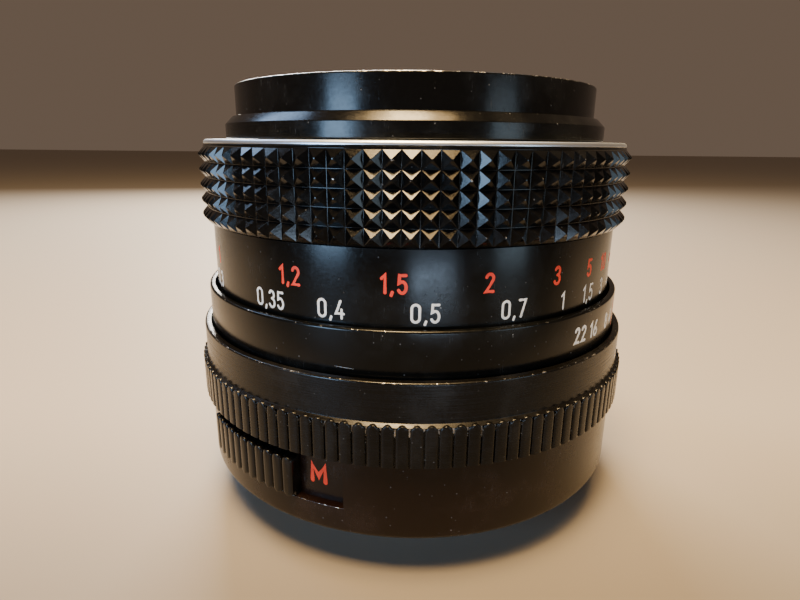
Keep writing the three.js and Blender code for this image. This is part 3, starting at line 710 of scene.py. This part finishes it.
def plain_wall():
    """As many points as the slot's lip has, straight up the housing's outside."""
    return [(HOUSING_R, SLOT_BOTTOM_Z - 0.1 + 0.015 * k) for k in range(ARC_STEPS + 1)]


def housing_profile(phi):
    """The housing's section, which loses its outer wall along the switch's slot."""
    slot = SLOT_FROM < (phi + 180) % 360 - 180 < SLOT_TO
    wall_r = SLOT_FLOOR_R if slot else HOUSING_R
    foot = rounded([
        (HOUSING_FOOT_R, HOUSING_BOTTOM_Z, 0.0), (HOUSING_R, HOUSING_BOTTOM_Z, 0.55, 0.35),
        (HOUSING_R, HOUSING_FOOT_Z, 0.0),
    ])
    top = [
        (wall_r, SLOT_BOTTOM_Z + 0.05), (wall_r, HOUSING_TOP_Z - 0.12), (wall_r - 0.12, HOUSING_TOP_Z, 0.4),
        (SEAT_R, HOUSING_TOP_Z), (SEAT_R, HOUSING_SEAT_Z), (HOUSING_BORE_R, HOUSING_SEAT_Z),
        (HOUSING_BORE_R, FLOOR_TOP_Z), (FLOOR_BORE_R, FLOOR_TOP_Z), (FLOOR_BORE_R, FLOOR_BOTTOM_Z),
        (HOUSING_FOOT_R, FLOOR_BOTTOM_Z),
    ]
    return foot + (slot_lip() if slot else plain_wall()) + top


slot_edges = [edge + 360 + nudge for edge in (SLOT_FROM, SLOT_TO) for nudge in (-SLOT_NUDGE, SLOT_NUDGE)]
turned("rear_housing_turned", "body", "base_black", housing_profile, ["rear_housing"],
       sorted(even(ROUND) + slot_edges))

# ---- Raised ribs: aperture ring and switch ----

ARCH_STEPS = 8
SIDE_WEAR = 0.6


def rib_mesh(verts, wear, faces, phi, half_deg, r_root, r_crest, z0, z1, soft, round_foot=False):
    """Adds one rib, a tall arch when seen from outside, whose crest is softened over a few levels."""
    half = math.radians(half_deg) * (r_root + r_crest) / 2
    top_z = z1 - half
    foot_z = z0 + half if round_foot else z0
    middle_z = (foot_z + top_z) / 2
    turns = [math.pi * i / ARCH_STEPS for i in range(ARCH_STEPS + 1)]
    outline = [(half * math.cos(t), top_z, half * math.sin(t)) for t in turns]
    outline.append((-half, middle_z, 0.0))
    if round_foot:
        outline += [(-half * math.cos(t), foot_z, -half * math.sin(t)) for t in turns]
    else:
        outline += [(-half, foot_z, 0.0), (half, foot_z, 0.0)]
    outline.append((half, middle_z, 0.0))
    # Each level: its inset sideways, its drop from the ends, its radius and how rubbed it is.
    levels = [
        (0.0, 0.0, r_root, 0.8),
        (0.0, 0.0, r_crest - 1.5 * soft, 0.75),
        (0.35 * soft, 0.08 * soft, r_crest - 1.1 * soft, 0.45),
        (1.2 * soft, 0.16 * soft, r_crest - 0.55 * soft, 0.1),
        (2.8 * soft, 0.22 * soft, r_crest - 0.15 * soft, 0.0),
        (4.4 * soft, 0.26 * soft, r_crest, 0.0),
    ]
    faces.extend(tube_faces(len(levels) - 1, len(outline), len(verts)))
    for inset, drop, r, worn in levels:
        shrink = (half - inset) / half
        for u, centre_z, rise in outline:
            square_foot = centre_z == foot_z and not round_foot
            z = centre_z + rise * (half - drop) / half + (drop if square_foot else 0.0)
            verts.append(at(r, phi + math.degrees(u * shrink / r), z))
            wear.append(worn * abs(u) / half if centre_z == top_z else SIDE_WEAR * worn)


APERTURE_BORE_R = 30.6
RIB_COUNT = 124
RIB_ROOT_R = RIB_R - 0.8
RIB_SHARE = 0.45  # half a rib's width, as a share of the pitch
GROOVE_R = RIB_R - 0.42


def aperture_ring():
    """The ribbed ring with its plain scale band above a small bright ledge."""
    turned("aperture_ring_turned", "aperture_ring", "aperture_black", rounded([
        (APERTURE_BORE_R, APERTURE_BOTTOM_Z, 0.0), (GROOVE_R, APERTURE_BOTTOM_Z, 0.08),
        (GROOVE_R, RIB_TOP_Z - 3.0, 0.0, 0.45), (GROOVE_R, RIB_TOP_Z - 0.5, 0.0, 1.0),
        (RIB_R - 0.12, RIB_TOP_Z - 0.3, 0.03, 0.6), (BAND_R, RIB_TOP_Z + 0.04, 0.04, 0.3),
        (BAND_R, APERTURE_TOP_Z, 0.3, 0.7), (APERTURE_BORE_R + 0.1, APERTURE_TOP_Z, 0.1, 0.5),
        (APERTURE_BORE_R, APERTURE_TOP_Z - 0.9, 0.0),
    ]), ["aperture_ring"])
    verts, wear, faces = [], [], []
    pitch = 360.0 / RIB_COUNT
    for i in range(RIB_COUNT):
        rib_mesh(verts, wear, faces, i * pitch, RIB_SHARE * pitch, RIB_ROOT_R, RIB_R,
                 APERTURE_BOTTOM_Z + 0.05, RIB_TOP_Z - 0.05, soft=0.1)
    make("aperture_ribs_cut", "aperture_ring", "aperture_black", verts, faces, wear)


aperture_ring()

SWITCH_FROM = -58.9
SWITCH_RIBS = 11
SWITCH_RIB_PITCH = 2.87
SWITCH_RIB_SHARE = 0.485  # of the switch's own pitch
SWITCH_CREST_R = 32.0
SWITCH_ROOT_R = 30.9
SWITCH_PLATE_R = 31.3
SWITCH_INNER_R = 30.45
SWITCH_COLUMNS = 24


def switch():
    """The auto/manual slider: a curved plate under a row of tall ribs."""
    verts, wear, faces = [], [], []
    for i in range(SWITCH_RIBS):
        middle = SWITCH_FROM + (i + 0.5) * SWITCH_RIB_PITCH
        rib_mesh(verts, wear, faces, middle, SWITCH_RIB_SHARE * SWITCH_RIB_PITCH, SWITCH_ROOT_R,
                 SWITCH_CREST_R, SWITCH_BOTTOM_Z + 0.05, SWITCH_TOP_Z, soft=0.13, round_foot=True)
    make("switch_ribs_cut", "auto_manual_switch", "switch_black", verts, faces, wear)
    section = rounded([
        (SWITCH_INNER_R, SWITCH_BOTTOM_Z, 0.0), (SWITCH_PLATE_R, SWITCH_BOTTOM_Z, 0.12, 0.4),
        (SWITCH_PLATE_R, SWITCH_TOP_Z - 0.35, 0.2, 0.4), (SWITCH_INNER_R, SWITCH_TOP_Z - 0.1, 0.0),
    ])
    step = SWITCH_RIBS * SWITCH_RIB_PITCH / SWITCH_COLUMNS
    plate = [at(r, SWITCH_FROM + step * c, z) for c in range(SWITCH_COLUMNS + 1) for r, z, _ in section]
    plate_wear = [worn for _, _, worn in section] * (SWITCH_COLUMNS + 1)
    make("switch_plate_cut", "auto_manual_switch", "switch_black", plate,
         tube_faces(SWITCH_COLUMNS, len(section)), plate_wear, ["auto_manual_switch"])


switch()

# ---- Mount ----

MOUNT_BORE_R = 19.2
THREAD_R = 21.0
THREAD_DEPTH = 0.6
THREAD_PITCH = 1.0
THREAD_START_Z, THREAD_END_Z = 0.5, 4.0


def mount_profile(phi):
    """The mount ring's section: the 42 mm by 1 mm thread, its run-out and the register flange."""
    root_r = THREAD_R - THREAD_DEPTH
    seat_r = THREAD_R + 0.05
    lead_in = [
        (MOUNT_BORE_R, MOUNT_BOTTOM_Z + 0.25), (MOUNT_BORE_R + 0.25, MOUNT_BOTTOM_Z, 0.6),
        (root_r - 0.1, MOUNT_BOTTOM_Z, 0.6), (root_r + 0.05, MOUNT_BOTTOM_Z + 0.15),
    ]
    flange = [
        (root_r, THREAD_END_Z + 0.15), (root_r, THREAD_END_Z + 0.4), (seat_r, THREAD_END_Z + 0.45),
        (seat_r, FLANGE_Z), (FLANGE_R - 0.2, FLANGE_Z, 0.5), (FLANGE_R, FLANGE_Z + 0.2, 0.6),
        (FLANGE_R, FLANGE_TOP_Z), (MOUNT_BORE_R, FLANGE_TOP_Z),
    ]
    thread = thread_rows(THREAD_R, THREAD_DEPTH, THREAD_START_Z, THREAD_END_Z, THREAD_PITCH, phi)
    return lead_in + thread + flange


SMALL_ROUND = 48
SCREW_CIRCLE_R = 24.3
SCREW_PHIS = (8, 128, 248)
SCREW_HEAD_R = 1.3
SCREW_RECESS_R = 1.6
SCREW_HEAD_Z = FLANGE_Z + 0.2
SCREW_END_Z = FLANGE_TOP_Z - 0.4
SCREW_SLOT_HALF_WIDTH = 0.25
SCREW_SLOT_REACH = 2.0


def mount_screw(number, place):
    """A slotted screw head, whose slot points to the lens's axis."""
    name = f"mount_screw_{number}"
    screw = turned(f"{name}_turned", "body", "screw_steel", rounded([
        (0.0, SCREW_HEAD_Z, 0.0), (SCREW_HEAD_R, SCREW_HEAD_Z, 0.25, 0.5), (SCREW_HEAD_R, SCREW_END_Z, 0.0),
        (0.0, SCREW_END_Z, 0.0),
    ]), [name], even(SMALL_ROUND), axis=place)
    middle = Vector(place)
    outwards = middle.normalized()
    along = outwards * SCREW_SLOT_REACH
    side = Vector((-outwards.y, outwards.x)) * SCREW_SLOT_HALF_WIDTH
    corners = [middle - along - side, middle + along - side, middle + along + side, middle - along + side]
    box = [(c.x, c.y, z) for z in (FLANGE_Z - 0.5, FLANGE_Z + 0.6) for c in corners]
    cut_away(screw, box, tube_faces(1, len(corners)))


mount_ring = turned("mount_ring_turned", "body", "mount_steel", mount_profile, ["mount_thread_ring"])
for number, screw_phi in enumerate(SCREW_PHIS, 1):
    screw_place = at(SCREW_CIRCLE_R, screw_phi, 0)[:2]
    drill(mount_ring, screw_place, SCREW_RECESS_R, FLANGE_Z - 1, FLANGE_TOP_Z + 1)
    mount_screw(number, screw_place)

# ---- Rear cover and diaphragm pin ----

PIN_PLACE = at(16.6, 248, 0)[:2]
PIN_R = 1.0
PIN_TIP_Z = 0.4
PIN_END_Z = 17.6
PIN_TAIL_R = 0.6
COLLAR_R = 1.7
COLLAR_Z = 12.2
COLLAR_TOP_Z = COLLAR_Z + 0.6
COVER_BORE_R, COVER_R = 14.5, 22.6
COVER_BOTTOM_Z, COVER_TOP_Z = 7.7, 8.5

cover = turned("rear_cover_turned", "body", "inside_matt_black", rounded([
    (COVER_BORE_R, COVER_BOTTOM_Z, 0.1, 0.7), (COVER_R, COVER_BOTTOM_Z, 0.0), (COVER_R, COVER_TOP_Z, 0.0),
    (COVER_BORE_R, COVER_TOP_Z, 0.0),
]), ["rear_cover_plate"])
drill(cover, PIN_PLACE, PIN_R + 0.2, COVER_BOTTOM_Z - 0.7, COVER_TOP_Z + 0.5)

turned("diaphragm_pin_turned", "diaphragm_pin", "screw_steel", rounded([
    (0.0, PIN_TIP_Z, 0.0), (PIN_R - 0.2, PIN_TIP_Z, 0.3), (PIN_R, PIN_TIP_Z + 0.4, 0.15),
    (PIN_R, COLLAR_Z, 0.0), (COLLAR_R, COLLAR_Z, 0.05), (COLLAR_R, COLLAR_TOP_Z, 0.05),
    (PIN_TAIL_R, COLLAR_TOP_Z, 0.0), (PIN_TAIL_R, PIN_END_Z, 0.05), (0.0, PIN_END_Z, 0.0),
]), ["diaphragm_pin"], even(SMALL_ROUND), axis=PIN_PLACE)

SPRING_R = 1.1
SPRING_WIRE_R = 0.16
SPRING_TURNS = 4
SPRING_STEPS = 40
SPRING_SIDES = 12


def pin_spring():
    """The coil that returns the diaphragm pin, made at the CAD spring's length; nothing here shortens it as
    the pin goes in.
    """
    bottom_z, top_z = extent("pin_spring")[1:]
    length = top_z - bottom_z
    count = SPRING_TURNS * SPRING_STEPS
    verts = []
    for i in range(count + 1):
        around = math.tau * i / SPRING_STEPS
        z = bottom_z + SPRING_WIRE_R + (length - 2 * SPRING_WIRE_R) * i / count
        for k in range(SPRING_SIDES):
            tilt = math.tau * k / SPRING_SIDES
            r = SPRING_R + SPRING_WIRE_R * math.cos(tilt)
            verts.append((PIN_PLACE[0] + r * math.cos(around), PIN_PLACE[1] + r * math.sin(around),
                          z + SPRING_WIRE_R * math.sin(tilt)))
    coil = make("pin_spring_coil", "body", "screw_steel", verts, tube_faces(count, SPRING_SIDES),
                replaces=["pin_spring"])
    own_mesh(coil)


pin_spring()

# ---- Iris ----

BLADES = 6
BLADE_PIVOT_R = 18.4
BLADE_PIN_R = BLADE_PIVOT_R + 2.2
BLADE_INNER_R, BLADE_OUTER_R = 10.6, 17.2
BLADE_TIP = (13.9, 123)
BLADE_FROM, BLADE_TO = -7, 118
BLADE_STEPS = 40
BLADE_HEEL_END = 5
BLADE_HEEL = [(19, 1.1), (21.1, 0.8), (21.1, -0.8), (18.6, -1.4)]
BLADE_THICKNESS = 0.15
BLADE_RISE = 0.3
FIRST_BLADE_Z = 24.75
BLADE_ROD_R = 0.4
PIVOT_BOTTOM_Z, CAM_PIN_TOP_Z = 23.8, 27.25


def iris_blade(number):
    """A crescent blade with its pivot and its cam pin; each lies a step above the one before."""
    name = f"iris_blade_{number}"
    turn = 360.0 / BLADES * (number - 1) + 90.0
    sweep = [BLADE_FROM + (BLADE_TO - BLADE_FROM) * i / BLADE_STEPS for i in range(BLADE_STEPS + 1)]
    outline = [(BLADE_INNER_R, a) for a in sweep] + [BLADE_TIP]
    outline += [(BLADE_OUTER_R, a) for a in reversed(sweep) if a > BLADE_HEEL_END]
    outline += [(math.hypot(x, y), math.degrees(math.atan2(y, x))) for x, y in BLADE_HEEL]
    low = FIRST_BLADE_Z + BLADE_RISE * (number - 1)
    verts = [at(r, a + turn, z) for z in (low, low + BLADE_THICKNESS) for r, a in outline]
    faces = tube_faces(1, len(outline))
    rod(verts, faces, at(BLADE_PIVOT_R, turn, 0)[:2], BLADE_ROD_R, PIVOT_BOTTOM_Z, low + 0.1, 16)
    rod(verts, faces, at(BLADE_PIN_R, turn, 0)[:2], BLADE_ROD_R, low + 0.05, CAM_PIN_TOP_Z, 16)
    make(f"{name}_cut", name, "blade_steel", verts, faces, replaces=[name])


for blade in range(1, BLADES + 1):
    iris_blade(blade)

# ---- Engraved scales ----

ENGRAVING_LIFT = 0.012
ENGRAVING_SINK = 0.05
GLYPH_GAP = 0.13


def arc(cx, cy, rx, ry, start, end, steps=12):
    """Points on an ellipse from start to end degrees."""
    turns = (math.radians(start + (end - start) * i / steps) for i in range(steps + 1))
    return [(cx + rx * math.cos(t), cy + ry * math.sin(t)) for t in turns]


# Each glyph: its width and its strokes, in a cell one unit high. "oo" is the sign for infinity.
GLYPHS = {
    "0": (0.44, [
        arc(0.22, 0.78, 0.22, 0.22, 0, 180) + arc(0.22, 0.22, 0.22, 0.22, 180, 360) + [(0.44, 0.78)],
    ]),
    "1": (0.2, [[(0.0, 0.8), (0.19, 1.0), (0.19, 0.0)]]),
    "2": (0.44, [arc(0.22, 0.76, 0.21, 0.24, 165, -30) + [(0.0, 0.0), (0.44, 0.0)]]),
    "3": (0.42, [arc(0.2, 0.77, 0.19, 0.23, 155, -90), arc(0.2, 0.27, 0.22, 0.27, 90, -155)]),
    "4": (0.46, [[(0.28, 1.0), (0.0, 0.26), (0.46, 0.26)], [(0.34, 0.5), (0.34, 0.0)]]),
    "5": (0.42, [[(0.4, 1.0), (0.06, 1.0), (0.03, 0.56)] + arc(0.2, 0.32, 0.22, 0.32, 125, -150)]),
    "6": (0.44, [
        [(0.33, 1.0)] + arc(0.62, 0.3, 0.6, 0.62, 130, 175) + arc(0.22, 0.25, 0.22, 0.25, 180, 540, 20),
    ]),
    "7": (0.42, [[(0.0, 1.0), (0.42, 1.0), (0.14, 0.0)]]),
    "8": (0.44, [arc(0.22, 0.76, 0.19, 0.24, -90, 270, 20), arc(0.22, 0.26, 0.22, 0.26, 90, 450, 20)]),
    ",": (0.1, [[(0.08, 0.04), (0.02, -0.14)]]),
    "A": (0.56, [[(0.0, 0.0), (0.28, 1.0), (0.56, 0.0)], [(0.1, 0.32), (0.46, 0.32)]]),
    "M": (0.84, [[(0.0, 0.0), (0.02, 1.0), (0.42, 0.32), (0.82, 1.0), (0.84, 0.0)]]),
    "oo": (0.9, [
        arc(0.23, 0.4, 0.22, 0.22, 45, 315, 16) + arc(0.67, 0.4, 0.22, 0.22, -135, 135, 16) + [(0.39, 0.56)],
    ]),
    "|": (0.0, [[(0.0, 0.0), (0.0, 1.0)]]),
}


def ribbon(points, half):
    """A stroke's cross-lines: left edge, middle and right edge along it, with round ends."""
    path = [Vector(p) for p in points]
    path = [p for i, p in enumerate(path) if i == 0 or (p - path[i - 1]).length > 1e-6]
    lines = []
    for i, p in enumerate(path):
        ways = []
        if i:
            ways.append((p - path[i - 1]).normalized())
        if i + 1 < len(path):
            ways.append((path[i + 1] - p).normalized())
        way = sum(ways, Vector((0, 0))).normalized()
        reach = half / max(0.5, way.dot(ways[0]))
        lines.append((p, Vector((-way.y, way.x)) * reach, way))
    first, last = lines[0], lines[-1]
    caps = [math.radians(a) for a in (75, 50, 25)]
    start = [(first[0] - first[2] * half * math.sin(t), first[1] * math.cos(t)) for t in caps]
    end = [(last[0] + last[2] * half * math.sin(t), last[1] * math.cos(t)) for t in reversed(caps)]
    return start + [(p, side) for p, side, _ in lines] + end


def add_stroke(verts, faces, points, ring_r, phi, half):
    """Adds one stroke, laid on a ring round the angle phi, with its middle line a little proud."""
    base = len(verts)
    lines = ribbon(points, half)
    for middle, side in lines:
        row = ((middle + side, 0.0), (middle, ENGRAVING_LIFT),
               (middle - side, 0.0), (middle, -ENGRAVING_SINK))
        verts.extend(at(ring_r + lift, phi + math.degrees(place.x / ring_r), place.y) for place, lift in row)
    faces.extend(tube_faces(len(lines) - 1, 4, base))


def engrave(name, body, slot, material, labels, ring_r, height, stroke):
    """Cuts labels of (text, phi, z of the middle) into a ring, as filled strokes just proud of it."""
    verts, faces = [], []
    gap = GLYPH_GAP * height + stroke
    for text, phi, z_middle in labels:
        glyphs = [text] if text in GLYPHS else list(text)
        width = sum(GLYPHS[g][0] * height for g in glyphs) + gap * (len(glyphs) - 1)
        pen = -width / 2
        for g in glyphs:
            glyph_width, strokes = GLYPHS[g]
            for points in strokes:
                scaled = [(pen + x * height, z_middle + (y - 0.5) * height) for x, y in points]
                add_stroke(verts, faces, scaled, ring_r, phi, stroke / 2)
            pen += glyph_width * height + gap
    piece = make(name, body, slot, verts, faces)
    piece.data.materials[0] = material


INDEX_PHI = 63.6
INFINITY_PHI = INDEX_PHI + 1.4
FEET_Z = GRIP_TOP_Z - 14.1
METRES_Z = GRIP_TOP_Z - 17.32
DEPTH_SCALE_Z = GRIP_TOP_Z - 21.75
APERTURE_SCALE_Z = 23.3
SWITCH_LETTER_Z = 12.2

# Each distance and where it stands round the ring; the spacing closes up towards infinity.
METRES = [("0,3", -63.0), ("0,35", -35.9), ("0,4", -19.1), ("0,5", 1.5), ("0,7", 21.5), ("1", 35.8),
          ("1,5", 46.8), ("3", 55.9), ("oo", INFINITY_PHI)]
FEET = [("1", -61.9), ("1,2", -29.5), ("1,5", -5.2), ("2", 15.2), ("3", 33.2), ("5", 46.2), ("10", 55.6),
        ("oo", INFINITY_PHI)]
engrave("metre_scale", "focus_ring", "ring_black", WHITE, [(t, phi, METRES_Z) for t, phi in METRES],
        SCALE_R, height=1.95, stroke=0.29)
engrave("feet_scale", "focus_ring", "ring_black", RED, [(t, phi, FEET_Z) for t, phi in FEET],
        SCALE_R, height=1.95, stroke=0.36)

# The depth-of-field numbers stand on both sides of the index line, in proportion to the f-number.
DEPTH_STOPS = (4, 8, 16, 22)
DEGREES_PER_F_NUMBER = 1.04
DEPTHS = [(str(n), INDEX_PHI + side * DEGREES_PER_F_NUMBER * n, DEPTH_SCALE_Z)
          for n in DEPTH_STOPS for side in (-1, 1)]
engrave("depth_scale", "body", "ring_black", WHITE, DEPTHS, DEPTH_R, height=1.8, stroke=0.38)
engrave("index_line", "body", "ring_black", RED, [("|", INDEX_PHI, DEPTH_SCALE_Z)],
        DEPTH_R, height=3.4, stroke=0.4)

STOPS = ("1,8", "2,8", "4", "5,6", "8", "11", "16", "22")
STOP_PITCH = 9.0
engrave("aperture_scale", "aperture_ring", "aperture_black", WHITE,
        [(t, INDEX_PHI + STOP_PITCH * i, APERTURE_SCALE_Z) for i, t in enumerate(STOPS)],
        BAND_R, height=2.2, stroke=0.27)
engrave("switch_letters", "body", "base_black", RED,
        [("M", -22.3, SWITCH_LETTER_Z), ("A", -52.0, SWITCH_LETTER_Z)],
        SLOT_FLOOR_R, height=2.1, stroke=0.58)

SCRATCH_PHI, SCRATCH_Z, SCRATCH_LENGTH = -15.4, 26.5, 2.3
SCRATCH_STEPS = 8
SCRATCH_LIFT, SCRATCH_SINK = 0.004, 0.03


def scratch():
    """A bare scratch just above the lower edge of the depth-of-field ring, thickest past its middle."""
    verts = []
    for i in range(SCRATCH_STEPS + 1):
        share = i / SCRATCH_STEPS
        half = 0.005 + 0.035 * share * (1.1 - share)
        phi = SCRATCH_PHI + math.degrees((share - 0.5) * SCRATCH_LENGTH / DEPTH_R)
        z = SCRATCH_Z + 0.1 * (0.5 - share)
        outer, inner = DEPTH_R + SCRATCH_LIFT, DEPTH_R - SCRATCH_SINK
        verts += [at(outer, phi, z + half), at(outer, phi, z - half), at(inner, phi, z - half),
                  at(inner, phi, z + half)]
    make("depth_ring_scratch", "body", "bare_aluminium", verts, tube_faces(SCRATCH_STEPS, 4))


scratch()

# ---- Camera, floor and light ----

FLOOR_HALF = 3.0
# The front tone is painted shade: the floor in front of the lens is darkened to stand in for the lens's
# shadow there.
FLOOR_FRONT_SHADE = (0.09, 0.078, 0.06, 1.0)
FLOOR_BACK = (0.36, 0.31, 0.25, 1.0)


def floor_paint():
    """A plain matt floor, painted darker in front of the lens than behind it: the darker front is a painted
    shadow.
    """
    n = Nodes("floor_board_painted_shade")
    place = n.position()
    grain = n.noise(place, 900.0, 3.0)
    depth = n.add("ShaderNodeSeparateXYZ", {0: place}).outputs[1]
    return n.shade(
        # Painted shadow: the floor turns darker towards the front of the lens.
        Base_Color=n.mix(n.ramp(depth, -0.07, 0.02), FLOOR_FRONT_SHADE, FLOOR_BACK),
        Roughness=0.6,
        Normal=n.bump(grain, 0.01),
    )


floor_mesh = bpy.data.meshes.new("floor")
floor_corners = [(x * FLOOR_HALF, y * FLOOR_HALF, 0) for x, y in ((-1, -1), (1, -1), (1, 1), (-1, 1))]
floor_mesh.from_pydata(floor_corners, [], [(0, 1, 2, 3)])
floor_mesh.materials.append(floor_paint())
floor = bpy.data.objects.new("floor", floor_mesh)
bpy.context.collection.objects.link(floor)

# The camera stands in front of the lens, a little lower than its rim, and looks down by 16 degrees. Its
# angles are in radians.
CAMERA_PLACE = Vector((-2.398, -85.08, 50.25)) * MM
CAMERA_PITCH, CAMERA_YAW, CAMERA_ROLL = 0.27927, 0.00741, 0.01003
CAMERA_FOCAL, CAMERA_SENSOR = 24.52, 36.0
CAMERA_NEAR = 5.0
flat = Vector((math.sin(CAMERA_YAW), math.cos(CAMERA_YAW), 0))
forward = flat * math.cos(CAMERA_PITCH) - Vector((0, 0, math.sin(CAMERA_PITCH)))
level = forward.cross(Vector((0, 0, 1))).normalized()
upright = level.cross(forward)
right = level * math.cos(CAMERA_ROLL) + upright * math.sin(CAMERA_ROLL)
up = upright * math.cos(CAMERA_ROLL) - level * math.sin(CAMERA_ROLL)
view = bpy.data.cameras.new("camera")
view.sensor_width = CAMERA_SENSOR
view.lens = CAMERA_FOCAL
view.clip_start = CAMERA_NEAR * MM
camera = bpy.data.objects.new("camera", view)
camera.matrix_world = Matrix((
    (right.x, up.x, -forward.x, CAMERA_PLACE.x),
    (right.y, up.y, -forward.y, CAMERA_PLACE.y),
    (right.z, up.z, -forward.z, CAMERA_PLACE.z),
    (0, 0, 0, 1),
))
bpy.context.collection.objects.link(camera)
bpy.context.scene.camera = camera


def softbox(name, place, target, size, watts, colour):
    """A rectangular light at a place, facing a target, both in millimetres."""
    data = bpy.data.lights.new(name, "AREA")
    data.shape = "RECTANGLE"
    data.size, data.size_y = size[0] * MM, size[1] * MM
    data.energy = watts
    data.color = colour
    lamp = bpy.data.objects.new(name, data)
    lamp.visible_camera = False
    lamp.location = Vector(place) * MM
    way = (Vector(target) - Vector(place)).normalized()
    lamp.rotation_euler = way.to_track_quat("-Z", "Y").to_euler()
    bpy.context.collection.objects.link(lamp)


# Warm lamps and cool daylight from above, a window on each side, a low card in front, and the key behind.
LENS_MIDDLE = (0, 0, 35)
softbox("ceiling_front", (-18, -95, 420), LENS_MIDDLE, (200, 200), 3.0, (1.0, 0.64, 0.27))
softbox("ceiling_lamp", (-34, -92, 418), LENS_MIDDLE, (92, 180), 3.4, (1.0, 0.72, 0.38))
softbox("ceiling_left", (-290, 160, 360), LENS_MIDDLE, (105, 165), 0.56, (0.42, 0.64, 1.0))
softbox("ceiling_back", (120, 200, 420), LENS_MIDDLE, (200, 170), 0.25, (1.0, 0.95, 0.88))
softbox("window_left", (-132, -152, 55), (0, 0, 44), (56, 68), 0.25, (0.42, 0.67, 1.0))
softbox("window_right", (165, -151, 48), (0, 0, 42), (62, 80), 0.07, (0.6, 0.82, 1.0))
softbox("card_front", (26, -176, 9), (0, 0, 200), (60, 11), 0.055, (0.55, 0.75, 1.0))
softbox("key_behind", (-85, 460, 250), LENS_MIDDLE, (240, 150), 6.0, (1.0, 0.93, 0.84))

world = bpy.data.worlds.new("studio")
world.use_nodes = True
backdrop = world.node_tree.nodes["Background"].inputs
backdrop["Color"].default_value = (1.0, 0.7, 0.5, 1.0)
backdrop["Strength"].default_value = 0.14
bpy.context.scene.world = world
